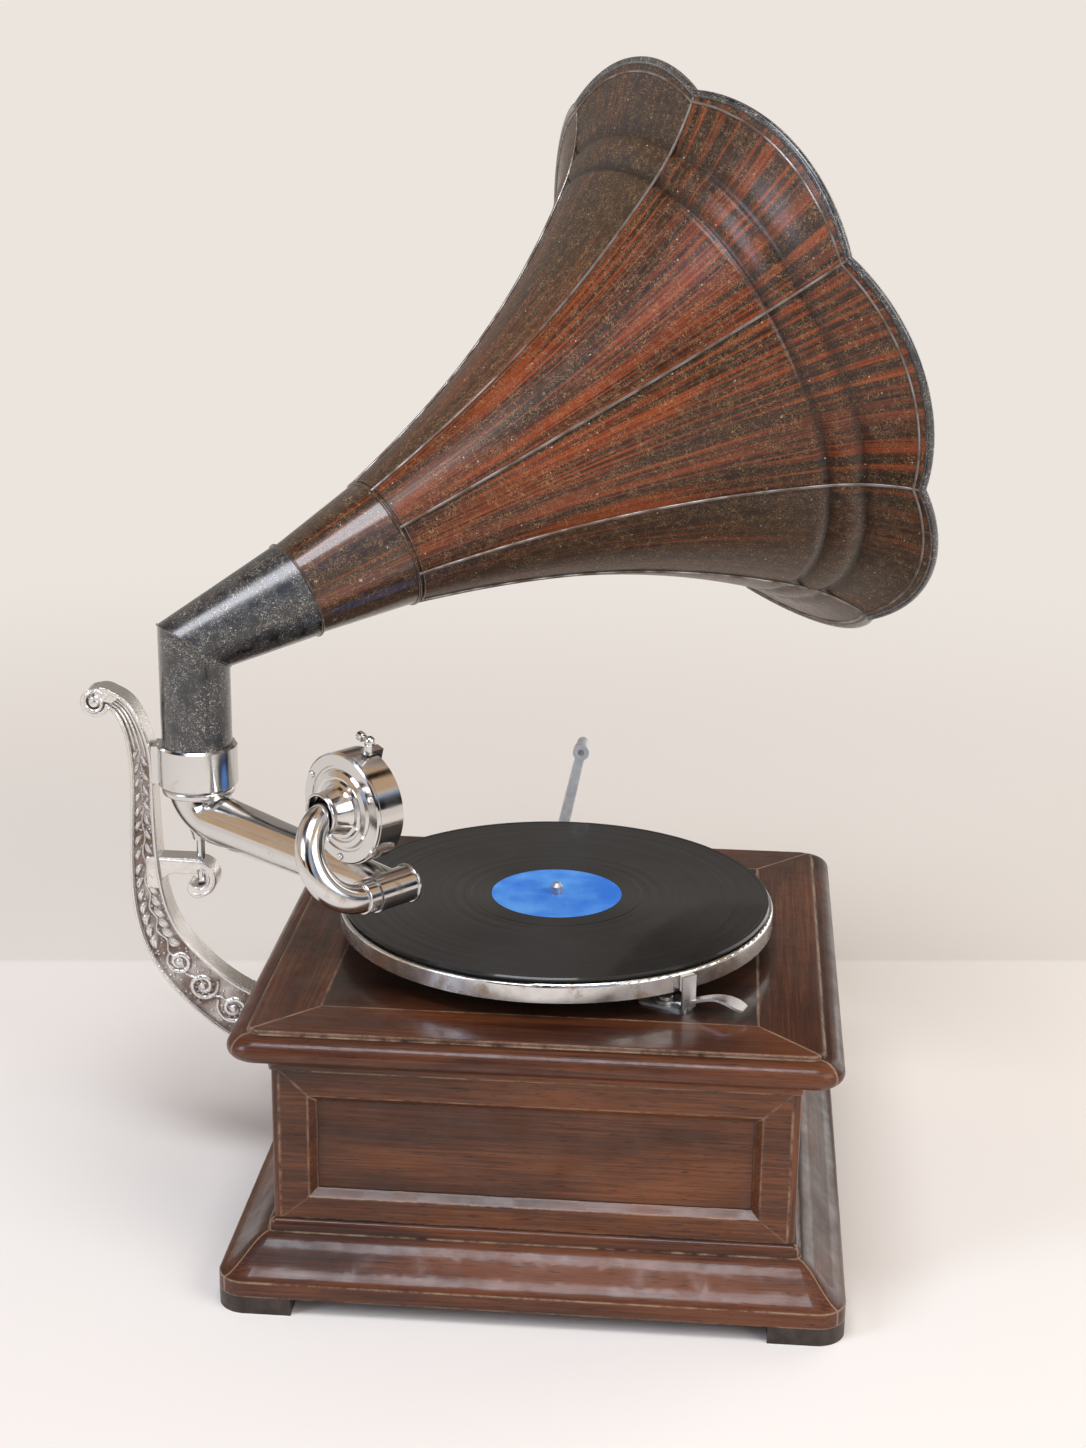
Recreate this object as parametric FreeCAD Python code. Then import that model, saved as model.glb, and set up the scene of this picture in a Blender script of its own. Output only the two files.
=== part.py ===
import FreeCAD, Part
import math
import os

os.makedirs("parts", exist_ok=True)

V = FreeCAD.Vector
up = V(0, 0, 1)
origin = V(0, 0, 0)

# Table gramophone, millimetres. Floor at z = 0, cabinet centred, spindle on the z axis.
# The horn opens to +x, the bracket stands on the -x side, the crank on the +y side.

# Cabinet, heights of the stacked mouldings
foot_height = 10.0
foot_length = 42.0
plinth_band = 9.0
plinth_cyma = 18.0
plinth_fillet = 3.2
plinth_bead = 4.0
case_height = 89.7
cove_height = 10.6
top_thick = 16.9

# Cabinet, half width of the case and what stands out from it
case_half = 143.1
plinth_out = 28.4
plinth_corner = 16.0
plinth_wall = 43.5
top_out = 21.7
top_corner = 15.0
field_inset = 12.4
field_corner = 7.0
board_inset = 24.0
corner_fall = 0.5
cyma_ease = 0.3
shoulder = 4.4
bead_out = 1.6
cove_out = 9.5
cove_foot = 1.5
cove_lip = 2.4
underside_set = 7.0
nose_top = 2.4
quirk_width = 1.7
field_round = 1.0

# Side frames and panels
frame_thick = 12.0
post_width = 4.1
post_round = 2.4
stile_width = 15.8
top_rail = 15.2
bottom_rail = 13.4
bevel_width = 4.4
bevel_depth = 4.4
lip_depth = 0.6
panel_thick = 5.0
panel_play = 0.2
floor_thick = 8.0
floor_lift = 4.0
board_thick = 12.0
board_play = 0.2
board_ledge = 7.0
board_hole = 9.0

# Turntable and record
rim_gap = 11.2
rim_height = 10.5
rim_radius = 127.0
rim_wall = 2.4
table_plate = 2.0
rim_round = 1.6
hub_radius = 12.0
felt_inset = 4.0
felt_thick = 0.8
record_radius = 125.0
record_thick = 2.4
label_radius = 38.2
label_thick = 0.2
groove_depth = 0.15
lip_width = 2.6
runout_radius = 50.0
spindle_radius = 3.6
spindle_fit = 0.05
spindle_tip = 6.6
spindle_round = 2.0

# Bracket, collar and pivot
pivot_out = 68.9
bracket_thick = 15.0
column_out = 32.6
column_drop = 31.0
foot_sink = 3.1
foot_drop = 1.15
scroll_out = 25.4
scroll_rise = 49.0
bracket_rim = 2.4
relief_depth = 2.2
scroll_radius = 8.6
plate_thick = 6.0
plate_width = 40.0
plate_height = 52.0
plate_round = 5.0
screw_radius = 2.0
screw_head = 4.2
screw_head_thick = 2.2
screw_head_round = 1.2
screw_slot = 1.0
screw_slot_depth = 0.8
screw_inset_y = 5.5
screw_inset_z = 6.5
lug_thick = 13.0
lug_drop = 27.5
lug_depth = 9.5
lug_root = 0.8
web_reach = 18.0
web_round = 10.0
hook_outer = 11.5
hook_inner = 5.6
curl_radius = 6.0
collar_wall = 2.75
collar_rise = 18.0
collar_height = 25.2
collar_shoulder = 12.0
collar_land = 8.0
collar_lip = 1.2
collar_pad = 16.0
collar_stand = 2.4
pin_radius = 2.5
pin_fit = 0.05

# Tone arm
arm_rise = 41.7
arm_length = 170.0
arm_turn = -40.0
neck_radius = 18.4
bend_radius = 21.0
arm_root = 14.8
arm_end = 10.2
tube_wall = 1.4
bearing_fit = 0.05
neck_relief = 1.6
neck_ring_out = 3.0
neck_ring_round = 1.6
neck_ring_height = 4.6
neck_ring_gap = 0.5
cross_wall = 1.95
cross_half = 13.0
cross_rim = 0.9
cross_rim_width = 1.6
cross_rim_round = 0.5
cross_end = 2.0

# Gooseneck and sound box
goose_radius = 8.0
goose_wall = 1.3
goose_spacing = 49.0
goose_straight = 20.0
goose_tilt = -28.0
goose_fit = 0.05
sleeve_wall = 1.3
sleeve_length = 8.0
sleeve_gap = 0.4
box_radius = 31.0
box_back = -15.0
box_thick = 18.6
back_flange = 2.2
back_screw_inset = 3.4
box_screw_radius = 1.2
box_screw_head = 2.1
box_screw_head_thick = 1.3
box_wall = 3.8
box_cover = 6.6
rim_lip = 4.4
gasket_width = 2.2
gasket_thick = 2.0
diaphragm_thick = 0.4
hub_root = 13.0
hub_mouth = 11.0
hub_length = 7.5
bush_wall = 1.5
needle_lean = 47.0
holder_length = 8.0
holder_root = 2.9
holder_end = 1.9
holder_ball = 3.1
thumb_radius = 2.6
thumb_reach = 9.0

# Horn
horn_turn = 34.5
horn_rise = 21.3
elbow_rise = 83.75
elbow_fit = 0.05
elbow_step = 2.2
elbow_seat = 0.2
horn_wall = 1.2
ring_one = 68.8
ring_one_radius = 29.4
ring_two = 130.8
ring_two_radius = 39.9
joint_step = 0.8
bell_length = 257.0
bell_taper = 70.932
bell_flare = 63.53076117
bell_power = 2.5
lobe_run = 35.0
lobe_power = 2.3
lobe_reach = 9.0
mouth_seam = 185.5
mouth_lobe = 192.0
petals = 8
seam_angle = 17.4
rib_radius = 1.1
rib_lift = 0.45
rim_bead = 2.0
bead_overrun = 3.0

# Brake
brake_inset = 10.171
brake_angle = -54.4045
brake_plate_thick = 1.6
brake_plate_length = 30.0
brake_plate_width = 14.0
brake_strip = 1.5
brake_eye = 6.0
brake_pin = 2.4
brake_gap = 0.2
brake_head = 4.0
pad_angle = -52.0
pad_width = 9.0
pad_height = 8.5
pad_thick = 3.0
pad_clear = 0.35
pad_round = 2.5
tab_thick = 1.4
spoon_reach = 46.0
spoon_width = 10.5

# Crank
crank_drop = 33.9
crank_length = 100.0
crank_lean = 12.0
crank_clear = 12.5
crank_bar_thick = 5.5
crank_bar_root = 9.0
crank_bar_end = 6.6
crank_shaft_radius = 4.0
crank_fit = 0.05
crank_hub = 9.0
bush_radius = 8.0
bush_flange = 11.5
bush_flange_thick = 2.0
grip_radius = 4.3
grip_flange = 5.4
grip_flange_thick = 1.8
grip_length = 17.0
grip_round = 1.4
grip_gap = 0.3
grip_pin = 2.2

# Motor under the board
plate_motor = 3.0
plate_drop = 78.0
pillar_radius = 4.0
barrel_x = -20.0
barrel_y = 45.0
barrel_rim = 4.0
barrel_height = 24.0
barrel_wall = 1.6
gear_module = 1.25
gear_face = 4.0
barrel_teeth = 64
wheel_teeth = 48
pinion_teeth = 12
tooth_share = 0.42
addendum = 0.85
dedendum = 1.2
arbor_radius = 4.0
arbor_fit = 0.05
board_gap = 0.6
spring_strip = 0.6
spring_turns = 9
spring_gap = 0.9
bevel_teeth = 16
bevel_pitch = 16.0
bevel_face = 0.4
bevel_share = 0.36
governor_distance = 26.5
governor_drop = 45.4
governor_shaft_radius = 2.0
governor_wheel_teeth = 40
governor_starts = 4
governor_wheel_face = 6.0
worm_radius = 6.5
worm_length = 18.0
worm_depth = 0.9
governor_disc = 17.0
weight_radius = 6.0
weight_orbit = 14.0

# Widths and heights that follow
plinth_half = case_half + plinth_out
top_half = case_half + top_out
field_half = top_half - field_inset
board_half = case_half - board_inset
plinth_top = foot_height + plinth_band
cyma_top = plinth_top + plinth_cyma
fillet_top = cyma_top + plinth_fillet
case_bottom = fillet_top + plinth_bead
case_top = case_bottom + case_height
cove_top = case_top + cove_height
top_z = cove_top + top_thick
rim_z = top_z + rim_gap
table_z = rim_z + rim_height
felt_z = table_z + felt_thick
record_z = felt_z + record_thick
board_z = top_z - board_thick
felt_radius = rim_radius - felt_inset
pivot_x = -case_half - pivot_out
arm_height = record_z + arm_rise
lug_top = arm_height - lug_drop
collar_bottom = arm_height + collar_rise
horn_bend = collar_bottom + elbow_rise
elbow_radius = neck_radius + elbow_step
collar_radius = elbow_radius + elbow_fit + collar_wall
neck_ring = neck_radius + neck_ring_out
cross_radius = goose_radius + goose_fit + cross_wall
sleeve_radius = goose_radius + sleeve_wall
rim_bore = box_radius - box_wall
rim_lip_bore = box_radius - box_cover
back_screw_circle = box_radius - back_screw_inset
holder_reach = box_radius + holder_length
brake_x = (rim_radius - brake_inset) * math.cos(math.radians(brake_angle))
brake_y = (rim_radius - brake_inset) * math.sin(math.radians(brake_angle))
crank_x = barrel_x
crank_z = board_z - crank_drop
crank_plane = plinth_half + crank_clear
barrel_radius = gear_module * barrel_teeth / 2 - barrel_rim
governor_height = board_z - governor_drop


def save(name, *shapes):
    shape = shapes[0] if len(shapes) == 1 else Part.makeCompound(list(shapes))
    shape.exportStep("parts/" + name + ".step")


def turned(shape, angle, axis=up, centre=origin):
    copy = shape.copy()
    copy.rotate(centre, axis, angle)
    return copy


def moved(shape, x, y, z):
    copy = shape.copy()
    copy.translate(V(x, y, z))
    return copy


def box(x0, x1, y0, y1, z0, z1):
    return Part.makeBox(x1 - x0, y1 - y0, z1 - z0, V(x0, y0, z0))


def rod(radius, start, end):
    return Part.makeCylinder(radius, (end - start).Length, start, end - start)


def cone(radius_start, radius_end, start, end):
    return Part.makeCone(radius_start, radius_end, (end - start).Length, start, end - start)


def prism(points, direction):
    ring = Part.makePolygon(points + [points[0]])
    return Part.Face(ring).extrude(direction)


def lathe(profile, axis=up):
    """Solid of revolution about the z axis from a list of (radius, height) corners."""
    points = [V(r, 0, h) for r, h in profile]
    ring = Part.makePolygon(points + [points[0]])
    return Part.Face(ring).revolve(origin, axis, 360)


def softened(shape, radius, test):
    edges = [e for e in shape.Edges if test(e)]
    return shape.makeFillet(radius, edges)


# Cabinet
def rounded_square(half, corner, z):
    side = half - corner
    diag = corner * math.sqrt(0.5)
    edges = []
    for quarter in range(4):
        line = Part.makeLine(V(-side, -half, z), V(side, -half, z))
        bend = Part.Arc(V(side, -half, z), V(side + diag, -side - diag, z), V(half, -side, z)).toShape()
        edges.append(turned(line, 90 * quarter))
        edges.append(turned(bend, 90 * quarter))
    return Part.Wire(edges)


def tier(levels, ruled=True):
    return Part.makeLoft([rounded_square(*level) for level in levels], True, ruled)


def mitred(ring, reach):
    """Cut a square ring on its diagonals and give the four boards: left, front, right, back."""
    wedge = prism([V(0, 0, -1), V(-reach, -reach, -1), V(reach, -reach, -1)], V(0, 0, 2 * top_z))
    board = ring.common(wedge).Solids[0]
    return [turned(board, 90 * quarter) for quarter in range(4)]


def plinth_radius(half):
    return plinth_corner - corner_fall * (plinth_half - half)


foot_block = tier([(plinth_half, plinth_corner, 0), (plinth_half, plinth_corner, foot_height)])
foot_start = plinth_half - foot_length
foot = foot_block.common(box(foot_start, plinth_half, foot_start, plinth_half, 0, foot_height)).Solids[0]
save("base_feet", *[turned(foot, 90 * quarter) for quarter in range(4)])

shoulder_half = case_half + shoulder
band = tier([(plinth_half, plinth_corner, foot_height), (plinth_half, plinth_corner, plinth_top)])
cyma = []
for step in range(9):
    share = step / 8
    half = plinth_half + (shoulder_half - plinth_half) * share
    wave = (1 - math.cos(math.pi * share)) / 2
    rise = plinth_cyma * (cyma_ease * share + (1 - cyma_ease) * wave)
    cyma.append((half, plinth_radius(half), plinth_top + rise))
cyma = tier(cyma, False)
bead_half = case_half + bead_out
bead_corner = plinth_radius(bead_half)
fillet = tier([(bead_half + bead_out, bead_corner + bead_out, cyma_top),
               (bead_half + bead_out, bead_corner + bead_out, fillet_top)])
bead = []
for step in range(5):
    angle = math.radians(90 * step / 4)
    half = case_half + 2 * bead_out * math.cos(angle)
    bead.append((half, bead_corner + half - bead_half, fillet_top + plinth_bead * math.sin(angle)))
bead = tier(bead, False)
plinth_inside = plinth_half - plinth_wall
plinth = band.fuse([cyma, fillet, bead])
plinth = plinth.cut(box(-plinth_inside, plinth_inside, -plinth_inside, plinth_inside, 0, case_bottom + 1))
save("plinth_mouldings", *mitred(plinth, plinth_half * 1.5))

floor_half = plinth_inside - panel_play
floor_z = foot_height + floor_lift
save("bottom_board", box(-floor_half, floor_half, -floor_half, floor_half, floor_z, floor_z + floor_thick))

post = box(case_half - post_width, case_half, case_half - post_width, case_half, case_bottom, case_top)
post_edge = case_half - 0.1
post = softened(post, post_round, lambda e: e.BoundBox.XMin > post_edge and e.BoundBox.YMin > post_edge)
save("corner_posts", *[turned(post, 90 * quarter) for quarter in range(4)])

frame_half = case_half - post_width
recess_half = frame_half - stile_width
recess_low = case_bottom + bottom_rail
recess_high = case_top - top_rail
frame_back = case_half - frame_thick
panel_face = case_half - bevel_depth - lip_depth


def upright(half, low, high, depth):
    corners = [V(-half, -depth, low), V(half, -depth, low), V(half, -depth, high), V(-half, -depth, high)]
    return Part.makePolygon(corners + [corners[0]])


def side_frame():
    plan = [V(-frame_half, -case_half, 0), V(frame_half, -case_half, 0), V(frame_half, -frame_half, 0),
            V(frame_back, -frame_back, 0), V(-frame_back, -frame_back, 0), V(-frame_half, -frame_half, 0)]
    slab = moved(prism(plan, V(0, 0, case_height)), 0, 0, case_bottom)
    low_slope = bottom_rail / stile_width
    high_slope = top_rail / stile_width
    sight_half = recess_half - bevel_width
    sight_low = recess_low + bevel_width * low_slope
    sight_high = recess_high - bevel_width * high_slope
    sight_depth = case_half - bevel_depth
    bevel = Part.makeLoft([upright(recess_half, recess_low, recess_high, case_half),
                           upright(sight_half, sight_low, sight_high, sight_depth)], True, True)
    window = box(-sight_half, sight_half, -sight_depth, -frame_back, sight_low, sight_high)
    rebate = box(-recess_half, recess_half, -panel_face, -frame_back, recess_low, recess_high)
    slab = slab.cut([bevel, window, rebate])
    inset = 0.6 * stile_width + stile_width
    mid_low = case_bottom + inset * low_slope
    mid_high = case_top - inset * high_slope
    inner = frame_half - inset
    outer_low = case_bottom
    outer_high = case_top
    wedges = [
        [(-frame_half, outer_high), (frame_half, outer_high), (inner, mid_high), (-inner, mid_high)],
        [(-frame_half, outer_low), (frame_half, outer_low), (inner, mid_low), (-inner, mid_low)],
        [(-frame_half, outer_low), (-frame_half, outer_high), (-inner, mid_high), (-inner, mid_low)],
        [(frame_half, outer_low), (frame_half, outer_high), (inner, mid_high), (inner, mid_low)],
    ]
    members = []
    for corners in wedges:
        wedge = prism([V(x, -case_half - 1, z) for x, z in corners], V(0, frame_thick + 2, 0))
        members.append(slab.common(wedge).Solids[0])
    return members


frame_members = side_frame()
panel_half = recess_half - panel_play
panel = box(-panel_half, panel_half, -panel_face, -panel_face + panel_thick,
            recess_low + panel_play, recess_high - panel_play)
side_names = ["left", "front", "right", "back"]
bush_hole = rod(bush_radius, V(crank_x, 0, crank_z), V(crank_x, case_half + 5, crank_z))
panels = []
for quarter, side in enumerate(side_names):
    members = [turned(member, 90 * quarter) for member in frame_members]
    infill = turned(panel, 90 * quarter)
    if side == "right":
        members = [member.cut(bush_hole) for member in members]
        infill = infill.cut(bush_hole)
    save("side_frame_" + side, *members)
    panels.append(infill)
save("side_panels", *panels)

cove = []
for step in range(6):
    angle = math.radians(90 * step / 5)
    half = case_half + cove_foot + (cove_out - cove_foot) * (1 - math.cos(angle))
    rise = (cove_height - cove_lip) * math.sin(angle)
    cove.append((half, 2.5 + (half - case_half) * 0.9, case_top + rise))
cove_edge = cove[-1]
cove_lip_tier = tier([cove_edge, (cove_edge[0], cove_edge[1], cove_top)])
cove = tier(cove, False).fuse(cove_lip_tier)
cove = cove.cut(box(-frame_back, frame_back, -frame_back, frame_back, case_top - 1, cove_top + 1))
save("cove_moulding", *mitred(cove, case_half * 1.5))

nose_height = top_thick - nose_top
nose = []
for step in range(9):
    angle = math.radians(-80 + 160 * step / 8)
    half = top_half - underside_set * (1 - math.cos(angle)) / (1 - math.cos(math.radians(80)))
    rise = nose_height * (1 + math.sin(angle) / math.sin(math.radians(80))) / 2
    nose.append((half, top_corner - (top_half - half) * 0.6, cove_top + rise))
nose_solid = tier(nose, False)
quirk_z = cove_top + nose_height
field_low = field_half + quirk_width
field = tier([(field_low, field_corner + quirk_width, quirk_z),
              (field_low, field_corner + quirk_width, top_z - field_round),
              (field_low - 0.4 * field_round, field_corner + quirk_width, top_z - 0.3 * field_round),
              (field_half, field_corner, top_z)])
top = nose_solid.fuse(field)
ledge_half = board_half - board_ledge
top = top.cut(box(-ledge_half, ledge_half, -ledge_half, ledge_half, 0, top_z + 1))
top = top.cut(box(-board_half, board_half, -board_half, board_half, board_z, top_z + 1))
for side, board in zip(side_names, mitred(top, top_half * 1.5)):
    save("top_rail_" + side, board)

inset_half = board_half - board_play
motor_board = box(-inset_half, inset_half, -inset_half, inset_half, board_z, top_z)
motor_board = motor_board.cut(rod(board_hole, V(0, 0, board_z - 1), V(0, 0, top_z + 1)))
save("motor_board", motor_board)

# Turntable, record and spindle
bore = spindle_radius + spindle_fit
inner_rim = rim_radius - rim_wall
table = lathe([(bore, table_z), (rim_radius, table_z), (rim_radius, rim_z), (inner_rim, rim_z),
               (inner_rim, table_z - table_plate), (hub_radius, table_z - table_plate),
               (hub_radius, rim_z + 1), (bore, rim_z + 1)])
table = softened(table, rim_round, lambda e: abs(e.BoundBox.ZMin - table_z) < 0.01
                 and abs(e.BoundBox.XMax - rim_radius) < 0.01 and e.BoundBox.ZLength < 0.01)
save("turntable", table)
felt = lathe([(bore, table_z), (felt_radius, table_z), (felt_radius, felt_z), (bore, felt_z)])
save("turntable_felt", felt)
label_seat = label_radius + 0.1
groove_z = record_z - groove_depth
record = lathe([(bore, felt_z), (record_radius - 0.8, felt_z), (record_radius, felt_z + 0.8),
                (record_radius, record_z - 0.8), (record_radius - 0.8, record_z),
                (record_radius - lip_width, record_z), (record_radius - lip_width - 0.4, groove_z),
                (runout_radius + 0.4, groove_z), (runout_radius, record_z),
                (label_seat, record_z), (label_seat, record_z - label_thick), (bore, record_z - label_thick)])
save("record", record)
label_z = record_z + 0.02
save("record_label", lathe([(bore, record_z - label_thick), (label_radius, record_z - label_thick),
                            (label_radius, label_z), (bore, label_z)]))
motor_top = board_z - plate_motor
motor_low = board_z - plate_motor - plate_drop
spindle_top = record_z + spindle_tip
spindle_foot = motor_low - plate_motor
spindle = lathe([(0, spindle_foot), (spindle_radius, spindle_foot),
                 (spindle_radius, spindle_top - spindle_round), (spindle_radius * 0.45, spindle_top),
                 (0, spindle_top)])
save("spindle", spindle)

# Bracket on the back of the case
# Centre line of the casting: a sweep from the case to the column, as shares of the way, then the column's
# head, each with the half width there
sweep = [(0.0, 0.0, 19.0), (0.2486, 0.043, 18.0), (0.4637, 0.1172, 16.6), (0.6549, 0.2266, 15.0),
         (0.8078, 0.3539, 13.8), (0.913, 0.4883, 12.0), (0.9704, 0.6328, 10.4), (0.9962, 0.8047, 9.0),
         (1.0, 1.0, 7.8)]
head = [(0.4, -6.0, 7.0), (-0.2, 19.0, 7.0), (-4.0, 35.0, 6.2), (-10.0, 46.2, 5.8), (-18.6, 51.8, 5.4)]
plate_mid = (recess_low + recess_high) / 2
column_x = pivot_x - column_out
sweep_x = -case_half + foot_sink
sweep_z = plate_mid - foot_drop
sweep_wide = column_x - sweep_x
sweep_tall = collar_bottom - column_drop - sweep_z
spine = [(sweep_x + sweep_wide * out, sweep_z + sweep_tall * climb, half) for out, climb, half in sweep]
spine += [(column_x + out, collar_bottom + climb, half) for out, climb, half in head]
scroll_x = column_x - scroll_out
scroll_z = collar_bottom + scroll_rise


def band_edges(inset):
    left = []
    right = []
    for k, (x, z, half) in enumerate(spine):
        ahead = spine[min(k + 1, len(spine) - 1)]
        behind = spine[max(k - 1, 0)]
        run = V(ahead[0] - behind[0], 0, ahead[1] - behind[1]).normalize()
        side = V(-run.z, 0, run.x)
        left.append(V(x, 0, z) - side * (half - inset))
        right.append(V(x, 0, z) + side * (half - inset))
    curves = []
    for points in (left, right):
        curve = Part.BSplineCurve()
        curve.interpolate(points)
        curves.append(curve.toShape())
    foot_line = Part.makeLine(left[0], right[0])
    head_line = Part.makeLine(left[-1], right[-1])
    return Part.Face(Part.Wire(Part.sortEdges([foot_line, curves[0], head_line, curves[1]])[0]))


def slab_y(face, low, high):
    return moved(face, 0, low, 0).extrude(V(0, high - low, 0))


def disc_y(radius, x, z, low, high):
    return rod(radius, V(x, low, z), V(x, high, z))


half_thick = bracket_thick / 2
plate_x = -panel_face - plate_thick
casting = slab_y(band_edges(0), -half_thick, half_thick)
casting = casting.fuse(disc_y(scroll_radius, scroll_x, scroll_z, -half_thick, half_thick))
eye = disc_y(scroll_radius - bracket_rim, scroll_x, scroll_z, -half_thick, half_thick)
eye = eye.cut(disc_y(scroll_radius - 2.6 * bracket_rim, scroll_x, scroll_z, -half_thick, half_thick))
sunk = slab_y(band_edges(bracket_rim), -half_thick, half_thick).fuse(eye)
sunk = sunk.cut(box(plate_x - 4, 0, -half_thick, half_thick, 0, case_top))
core = half_thick - relief_depth
scroll_reach = 2 * scroll_radius
sunk = sunk.cut(box(scroll_x - scroll_reach, 0, -core, core, 0, scroll_z + scroll_reach))
casting = casting.cut(sunk)
lug_half = lug_thick / 2
lug_low = lug_top - lug_depth
hook_x = pivot_x - 1.0
hook_z = lug_top - hook_outer - 1.0
lug_x = column_x + lug_root
web_x = lug_x + web_reach
web_z = lug_low - web_round
lug = box(lug_x, hook_x, -lug_half, lug_half, lug_low, lug_top)
web = box(lug_x, web_x, -lug_half, lug_half, web_z, lug_low)
web = web.cut(disc_y(web_round, web_x, web_z, -half_thick, half_thick))
hook = disc_y(hook_outer, hook_x, hook_z, -lug_half, lug_half)
hook = hook.cut(disc_y(hook_inner, hook_x, hook_z, -half_thick, half_thick))
hook_span = 2 * hook_outer
hook_box = box(hook_x - hook_span, hook_x, -half_thick, half_thick, hook_z - hook_span, hook_z + hook_span)
hook = hook.cut(hook_box)
curl = disc_y(curl_radius, hook_x - 0.5, hook_z - hook_outer + curl_radius - 0.8, -lug_half, lug_half)
curl = curl.cut(disc_y(hook_inner, hook_x, hook_z, -half_thick, half_thick))
casting = casting.fuse([lug, web, hook, curl])
plate = box(plate_x, -panel_face, -plate_width / 2, plate_width / 2,
            plate_mid - plate_height / 2, plate_mid + plate_height / 2)
plate = softened(plate, plate_round, lambda e: e.BoundBox.XLength > plate_thick - 0.1)
casting = casting.cut(box(-panel_face, 0, -half_thick, half_thick, 0, case_top))
casting = casting.fuse(plate)
pin_low = hook_z - 3.0
arm_under = arm_height - arm_root
pin_high = arm_under + 1.0
pin_hole = rod(pin_radius + pin_fit, V(pivot_x, 0, pin_low - 20), V(pivot_x, 0, pin_high + 1))
casting = casting.cut(pin_hole)
pad_x = pivot_x - collar_radius - collar_stand
collar_top = collar_bottom + collar_height
casting = casting.cut(box(pad_x, pivot_x, -half_thick, half_thick, collar_bottom, collar_top))
screw_spots = [(y, z) for y in (-1, 1) for z in (-1, 1)]
screws = []
for y, z in screw_spots:
    sy = y * (plate_width / 2 - screw_inset_y)
    sz = plate_mid + z * (plate_height / 2 - screw_inset_z)
    casting = casting.cut(rod(screw_radius, V(plate_x - 1, sy, sz), V(-panel_face + 1, sy, sz)))
    shank = rod(screw_radius, V(plate_x, sy, sz), V(-panel_face, sy, sz))
    head = rod(screw_head, V(plate_x - screw_head_thick, sy, sz), V(plate_x, sy, sz))
    head = softened(head, screw_head_round, lambda e: e.BoundBox.XMax < plate_x - screw_head_thick + 0.1)
    slot_x = plate_x - screw_head_thick
    slot = box(slot_x - 1, slot_x + screw_slot_depth, sy - screw_slot / 2, sy + screw_slot / 2,
               sz - screw_head, sz + screw_head)
    screws.append(shank.fuse(head).cut(slot))
save("support_bracket", casting.removeSplitter())
save("bracket_screws", *screws)
pin_tip = cone(pin_radius, 0.8, V(pivot_x, 0, pin_high - 2.5), V(pivot_x, 0, pin_high))
pin = rod(pin_radius, V(pivot_x, 0, pin_low), V(pivot_x, 0, pin_high - 2.5)).fuse(pin_tip)
save("arm_pivot_pin", pin)

shoulder_z = collar_bottom + collar_shoulder
elbow_bore = elbow_radius + elbow_fit
neck_bore = neck_radius + bearing_fit
relief_bore = neck_radius + neck_relief
collar = lathe([(neck_bore, shoulder_z - collar_land), (neck_bore, shoulder_z), (elbow_bore, shoulder_z),
                (elbow_bore, collar_top), (collar_radius - collar_lip, collar_top),
                (collar_radius, collar_top - collar_lip), (collar_radius, collar_bottom + collar_lip),
                (collar_radius - collar_lip, collar_bottom), (relief_bore, collar_bottom),
                (relief_bore, shoulder_z - collar_land)])
collar = moved(collar, pivot_x, 0, 0)
pad = box(pad_x, pivot_x - elbow_bore - 1, -collar_pad / 2, collar_pad / 2,
          collar_bottom + collar_lip, collar_top - collar_lip)
collar = collar.fuse(pad).removeSplitter()
save("horn_collar", collar)


# Tone arm, drawn along +x with its pivot on the z axis, then turned into place
def bend_ring(angle, radius):
    turn = math.radians(angle)
    centre = V(bend_radius * (1 - math.cos(turn)), 0, arm_height + bend_radius * (1 - math.sin(turn)))
    normal = V(math.sin(turn), 0, -math.cos(turn))
    side = V(math.cos(turn), 0, math.sin(turn))
    points = [centre + side * (radius * math.cos(a)) + V(0, radius * math.sin(a), 0)
              for a in [math.pi * k / 2 for k in range(4)]]
    first = Part.Arc(points[0], points[1], points[2]).toShape()
    second = Part.Arc(points[2], points[3], points[0]).toShape()
    return Part.Wire([first, second])


def arm_solid(shrink, overrun):
    neck_top = shoulder_z - 1.0 + overrun
    neck = rod(neck_radius - shrink, V(0, 0, arm_height + bend_radius), V(0, 0, neck_top))
    rings = []
    for angle in (0, 22.5, 45, 67.5, 90):
        ease = (1 - math.cos(math.radians(2 * angle))) / 2
        rings.append(bend_ring(angle, neck_radius + (arm_root - neck_radius) * ease - shrink))
    bend = Part.makeLoft(rings, True, False)
    run_out = (V(bend_radius, 0, arm_height), V(arm_length, 0, arm_height))
    taper = cone(arm_root - shrink, arm_end - shrink, *run_out)
    return neck.fuse([bend, taper])


def placed_arm(shape):
    return moved(turned(shape, arm_turn), pivot_x, 0, 0)


cross_ends = [V(arm_length, y, arm_height) for y in (-cross_half, cross_half)]
cross_tube_axis = rod(cross_radius, cross_ends[0], cross_ends[1])
arm = arm_solid(0, 0).cut(arm_solid(tube_wall, 1.0))
boss = cone(pin_radius + 3.4, pin_radius + 2.0, V(0, 0, arm_under + 3.4), V(0, 0, arm_under - 1.6))
arm = arm.fuse(boss.cut(arm_solid(0.5 * tube_wall, 1.0)))
ring_high = collar_bottom - neck_ring_gap
ring_low = ring_high - neck_ring_height
arm_ring = rod(neck_ring, V(0, 0, ring_low), V(0, 0, ring_high))
arm_ring = softened(arm_ring, neck_ring_round, lambda e: e.BoundBox.ZLength < 0.01)
arm = arm.fuse(arm_ring.cut(rod(neck_radius - tube_wall / 2, V(0, 0, ring_low - 1), V(0, 0, ring_high + 1))))
dimple = rod(pin_radius + pin_fit, V(0, 0, arm_under - 5), V(0, 0, pin_high + 0.4))
arm = arm.cut(dimple).cut(cross_tube_axis)
arm = max(arm.Solids, key=lambda s: s.Volume)
save("tone_arm", placed_arm(arm))

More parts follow.
